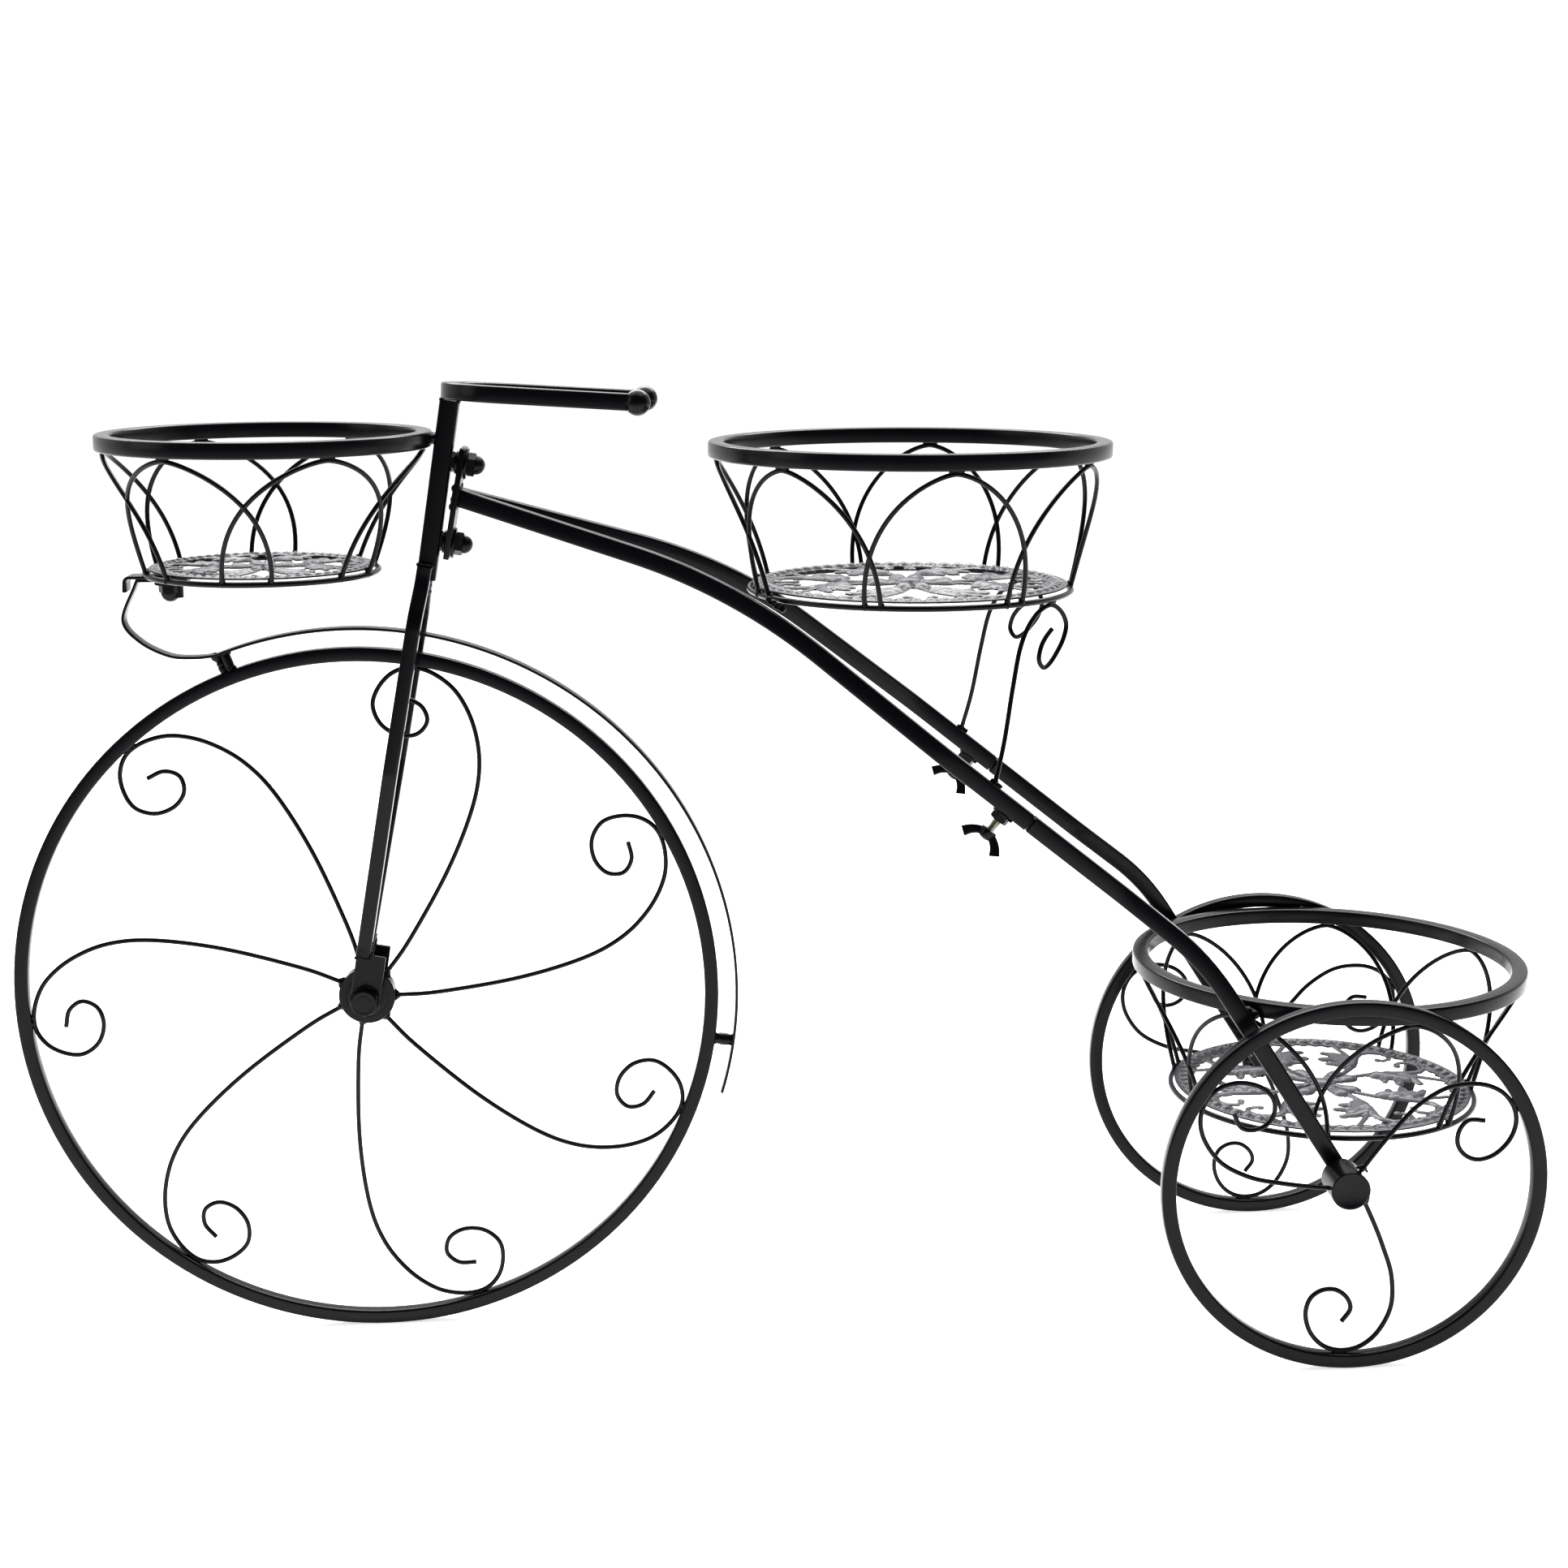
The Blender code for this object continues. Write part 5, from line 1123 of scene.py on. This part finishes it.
ring_centre = in_basket(middle, 0, 0, -middle["depth"] - PLATE_THICK - GAP - RING_WIRE_R)
middle_ring = circle_path(ring_centre, middle["foot_r"], basket_up, basket_back)
for side, name in SIDES:
    near_part = [p for p in middle_ring if p.x < ring_centre.x and p.y * side > 0]
    top_line = [p + Vector((-down_tube.z, 0, down_tube.x)) * TUBE_SIDE / 2 for p in tube_routes[name]]
    weld_where("front_section", top_line, near_part, size=0.0016, count=7, spread=0.0046, along=down_tube)

# Clamp screws: a hexagon nut is welded under each front tube over a hole. A zinc-plated thumb screw in
# it bears on the sleeve; its black cast wings spread to a Y and flare toward their ends.
SCREW_R, SCREW_PITCH, SCREW_DEPTH = 0.0025, 0.0008, 0.00042
SCREW_BACK, SCREW_REACH = 0.0143, 0.0065
CLAMP_FLAT, CLAMP_HEIGHT = 0.0045, 0.0045
CLAMP_WELD = 0.0026
WING_HUB_R, WING_HUB_HEIGHT = 0.0047, 0.0052
WING_ROLL = math.radians(20.0)
WING_SECTION, WING_CORNER = (0.0060, 0.0024), 0.0008
WING_LINE, WING_STEPS = ((0.0024, 0.0022), (0.0056, 0.0038), (0.0085, 0.0062), (0.0108, 0.0094)), 14


def zinc_plate():
    """Bright zinc: a metal with a faint blue and straw bloom, and grime in the thread."""
    made, tree, shader, coat = coated("zinc_thread", 1500, 260, {"To Min": 0.22, "To Max": 0.42},
                                      {"Distance": 0.00003})
    shader["Metallic"].default_value = 1.0
    bloom = tree.nodes.new("ShaderNodeValToRGB")
    ramp = bloom.color_ramp
    ramp.elements[0].position, ramp.elements[0].color = 0.35, (0.30, 0.27, 0.22, 1)
    ramp.elements[1].position, ramp.elements[1].color = 0.62, (0.66, 0.68, 0.70, 1)
    ramp.elements.new(0.50).color = (0.58, 0.55, 0.47, 1)
    tree.links.new(coat["Mottle"], bloom.inputs["Fac"])
    tree.links.new(bloom.outputs["Color"], shader["Base Color"])
    return made


ZINC = zinc_plate()
tube_to_nut = TUBE_SIDE / 2 + GAP
screw_bore = SCREW_R + GAP
for side, name in SIDES:
    seat = on_tube(JOINT_X, side) - down_tube * SCREW_BACK
    nut = [(screw_bore, CLAMP_HEIGHT), (CLAMP_FLAT * 0.80, CLAMP_HEIGHT)]
    nut += hex_profile(CLAMP_FLAT, 0, CLAMP_HEIGHT) + [(screw_bore, 0), (screw_bore, CLAMP_HEIGHT)]
    black(turned(f"clamp_hexagon_{name}", nut, seat + off_tube * tube_to_nut, off_tube), "front_section",
          f"clamp_nut_{name}", smooth=15)
    for face in (-1, 1):
        foot = seat + off_tube * tube_to_nut + down_tube * (face * 0.0048)
        weld_run("front_section", foot, Y_AXIS * CLAMP_WELD, size=0.0011, count=6)
        foot = seat + off_tube * tube_to_nut + Y_AXIS * (face * 0.0042)
        weld_run("front_section", foot, down_tube * CLAMP_WELD, size=0.0008)
    tip = sleeve_side / 2 + GAP
    hub_from = tube_to_nut + CLAMP_HEIGHT + SCREW_REACH
    screw = threaded(f"thumb_screw_thread_{name}", SCREW_R, SCREW_PITCH, SCREW_DEPTH, tip,
                     hub_from + WING_HUB_HEIGHT / 2, seat, off_tube, steps=28, per_turn=8)
    settle(screw, f"screw_{name}", ZINC, "zinc_thread", f"thumb_screw_{name}", smooth=30)
    hub = [(0, WING_HUB_HEIGHT + 0.0006), (WING_HUB_R * 0.45, WING_HUB_HEIGHT + 0.0005),
           (WING_HUB_R * 0.78, WING_HUB_HEIGHT - 0.0004), (WING_HUB_R * 0.92, WING_HUB_HEIGHT * 0.55),
           (WING_HUB_R, WING_HUB_HEIGHT * 0.14), (WING_HUB_R * 0.97, 0), (screw_bore, 0),
           (screw_bore, WING_HUB_HEIGHT / 2 + GAP), (0, WING_HUB_HEIGHT / 2 + GAP)]
    root = seat + off_tube * hub_from
    pieces = [turned("hub", hub, root, off_tube)]
    level = Y_AXIS.cross(off_tube)
    for turn in (WING_ROLL, WING_ROLL + math.pi):
        out = toward(turn, level, Y_AXIS)
        route = through([root + out * u + off_tube * w for u, w in WING_LINE], WING_STEPS)
        shares = [k / WING_STEPS for k in range(WING_STEPS + 1)]
        flare = [(0.70 + 0.26 * share ** 1.4, 1.3 - 0.25 * share) for share in shares]
        pieces.append(swept("wing", route, rounded(*WING_SECTION, WING_CORNER), out.cross(off_tube),
                            swell=flare))
    black(joined(f"thumb_wings_cast_{name}", pieces), f"wings_{name}", f"thumb_wings_{name}")

# Leg wires: two round wires rise from the tubes to the middle basket's ring. Each is bent over it and
# curls back below to an oval loop with a cut end, and is welded to the tube and to the ring.
LEG_WIRE_R = 0.0013
LEG_FOOT_BACK = 0.0282
LEG_WELD_UP, LEG_WELD_DOWN, LEG_WELD_RISE = 0.0022, 0.0034, 0.0030
LEG_RING_BEARING, LEG_RING_INSET = math.radians(38.0), 0.0020
LEG_SHARES = [
    (-1.000, -1.000), (-0.829, -0.760), (-0.667, -0.450), (-0.514, -0.210), (-0.286, -0.060), (0.000, 0.000),
    (0.200, -0.045), (0.297, -0.130), (0.244, -0.215), (0.124, -0.290), (-0.010, -0.350), (-0.124, -0.368),
    (-0.200, -0.318), (-0.162, -0.245), (-0.076, -0.190), (0.038, -0.145),
]
ring_under = -middle["depth"] - PLATE_THICK - GAP - 2 * RING_WIRE_R - GAP - LEG_WIRE_R
ring_reach = middle["foot_r"] - LEG_RING_INSET
for side, name in SIDES:
    above = off_tube * (TUBE_SIDE / 2 + GAP + LEG_WIRE_R / 2)
    foot = on_tube(JOINT_X, side) - down_tube * LEG_FOOT_BACK - above
    lean = GROUND + Vector((middle["x"] + ring_reach * math.cos(LEG_RING_BEARING),
                            side * ring_reach * math.sin(LEG_RING_BEARING), foot.z)) - foot
    top = foot + lean
    top.z = in_basket(middle, (top.x - GROUND.x - middle["x"]) / basket_back.x, 0, ring_under).z
    height = Vector((0, 0, top.z - foot.z))
    route = through([top + lean * out + height * up for out, up in LEG_SHARES], 110)
    black(wires(f"leg_wire_bent_{name}", [route], LEG_WIRE_R), "front_section", f"leg_wire_{name}", smooth=60)
    weld("front_section", foot - down_tube * LEG_WELD_UP, foot + down_tube * LEG_WELD_DOWN,
         size=0.0011, count=7)
    weld("front_section", foot, foot + (route[4] - foot).normalized() * LEG_WELD_RISE,
         size=0.0013, count=3, wander=0.15)
    weld_where("front_section", route[20:60], middle_ring, size=0.0013, count=5, spread=0.0022)

# Rear wheels: two smaller rolled rings outside the rear basket, each with three scroll spokes on a plain
# steel drum that is welded to the tube's end. Each ring is welded to the basket's rim at its top.
WHEELBASE, REAR_WHEEL_R = 0.534, 0.1035
REAR_HUB_R = 0.0105
REAR_SPOKES = 3
REAR_SCROLL_START = 26.0
HUB_SLIPS, RING_SLIPS = {"left": -0.0018, "right": 0.0}, {"left": 0.0014, "right": 0.0}
# The drum's outer face, as (distance in from its side, depth below its highest ring).
REAR_HUB_FACE, REAR_HUB_BREAK = ((0.0016, TOOL_RING), (0.0012, 0), (0.0005, 0), (0, 0.0005)), 0.0004
HUB_WELD_R, HUB_WELD = 0.0062, 0.0008
REAR_SCROLL_SHARES = [
    (0.000, 38.0), (0.180, 31.5), (0.340, 29.0), (0.540, 26.4), (0.740, 21.2), (0.890, 14.0),
    (0.975, 7.2), (1.000, 0.5), (0.975, -5.6), (0.900, -11.0), (0.790, -15.0), (0.680, -15.6),
    (0.605, -11.6), (0.585, -4.6), (0.635, 1.6), (0.715, 3.4), (0.800, 0.0),
]
rear = BASKETS["rear"]
rear_y = rear["rim_r"] + GAP + WHEEL_TUBE / 2
hub_inner = PLAN_BENDS[-1][1] + TUBE_SIDE / 2 + GAP
hub_outer = rear_y + WHEEL_TUBE
drum = [(0, hub_outer - TOOL_RING)]
drum += [(REAR_HUB_R - inward, hub_outer - down) for inward, down in REAR_HUB_FACE]
drum += [(REAR_HUB_R, hub_inner + REAR_HUB_BREAK), (REAR_HUB_R - REAR_HUB_BREAK, hub_inner), (0, hub_inner)]
rear_rim = circle_path(in_basket(rear, 0, 0, 0), rear["rim_r"] - RIM_TUBE / 4, basket_up, basket_back)
for side, name in SIDES:
    axle = GROUND + Vector((WHEELBASE, 0, REAR_WHEEL_R))
    hub_middle = axle + X_AXIS * HUB_SLIPS[name]
    centre = axle + X_AXIS * RING_SLIPS[name] + Y_AXIS * (side * rear_y)
    tube_ring(f"rear_wheel_tube_{name}", centre, REAR_WHEEL_R, WHEEL_TUBE, Y_AXIS, X_AXIS, "rear_section",
              f"rear_wheel_rim_{name}")
    black(turned(f"rear_hub_drum_{name}", drum, hub_middle, Y_AXIS * side, 64, X_AXIS), "rear_section",
          f"rear_hub_{name}")
    scrolls = [scroll(centre, REAR_HUB_R, REAR_WHEEL_R, REAR_SCROLL_START - 360 / REAR_SPOKES * k,
                      REAR_SCROLL_SHARES) for k in range(REAR_SPOKES)]
    black(wires(f"rear_scroll_spokes_{name}", scrolls, SPOKE_R), "rear_section",
          *[f"rear_spoke_{name}_{k + 1}" for k in range(REAR_SPOKES)], smooth=60)
    for route in scrolls:
        weld_scroll("rear_section", centre, REAR_WHEEL_R, route)
    ring = circle_path(centre, REAR_WHEEL_R - WHEEL_TUBE / 2, Y_AXIS, X_AXIS)
    upper = [p for p in ring if p.z > centre.z]
    weld_where("rear_section", rear_rim, upper, size=0.0024, count=7, spread=0.0060)
    weld_where("rear_section", tube_routes[name], rear_rim, size=0.0026, count=6, spread=0.0050)
    tube_end = hub_middle + Y_AXIS * (side * hub_inner)
    for k in range(6):
        spot = tube_end + toward(math.radians(100 + 36 * k), X_AXIS, Z_AXIS) * HUB_WELD_R
        weld("rear_section", spot, spot + Z_AXIS * HUB_WELD, size=0.0021, count=2)

# Weld metal: every joint is welded by hand before coating, so each carries a short run of lumps that
# blend into one another. Each body's welds are one mesh, grown from the marks kept above.
WELD_VOXEL = 0.00042
WELD_RIPPLE = 0.00022


def weld_metal_tree():
    """Swells marks to lumps of their own sizes, fuses them, and roughens the skin."""
    tree, given, out = new_tree("weld_metal", ("Voxel", "Float"), ("Ripple", "Float"))
    size = chain(tree, "GeometryNodeInputNamedAttribute", {"Name": "size"}, data_type="FLOAT")
    marks = chain(tree, "GeometryNodeMeshToPoints", {"Mesh": given["Geometry"], "Radius": size[0]})
    cloud = chain(tree, "GeometryNodePointsToVolume",
                  {"Points": marks[0], "Voxel Size": given["Voxel"], "Radius": size[0]},
                  resolution_mode="VOXEL_SIZE")
    surface = chain(tree, "GeometryNodeVolumeToMesh",
                    {"Volume": cloud[0], "Threshold": 0.1, "Adaptivity": 0.02})
    noise = chain(tree, "ShaderNodeTexNoise", {"Scale": 900.0, "Detail": 2.0})
    centred = chain(tree, "ShaderNodeMath", {0: noise[0], 1: 0.5}, operation="SUBTRACT")
    height = chain(tree, "ShaderNodeMath", {0: centred[0], 1: given["Ripple"]}, operation="MULTIPLY")
    normal = chain(tree, "GeometryNodeInputNormal", {})
    push = chain(tree, "ShaderNodeVectorMath", {0: normal[0], "Scale": height[0]}, operation="SCALE")
    rough = chain(tree, "GeometryNodeSetPosition", {"Geometry": surface[0], "Offset": push["Vector"]})
    return painted(tree, rough[0], given, out)


WELD_METAL = weld_metal_tree()
WELD_POWDER = powder("black_powder_on_weld", (0.0035, 0.003, 0.0045), (0.009, 0.008, 0.012), 0.28, 1400,
                     0.00010)
for body, marks in welds.items():
    dots = bpy.data.meshes.new("weld_marks")
    dots.from_pydata([place for place, _ in marks], [], [])
    dots.attributes.new("size", "FLOAT", "POINT").data.foreach_set("value", [size for _, size in marks])
    lumps = grown(placed("weld_marks", dots), WELD_METAL, f"{body}_welds", Voxel=WELD_VOXEL,
                  Ripple=WELD_RIPPLE, Material=WELD_POWDER)
    settle(lumps, body, WELD_POWDER, "black_powder_coat", smooth=70)
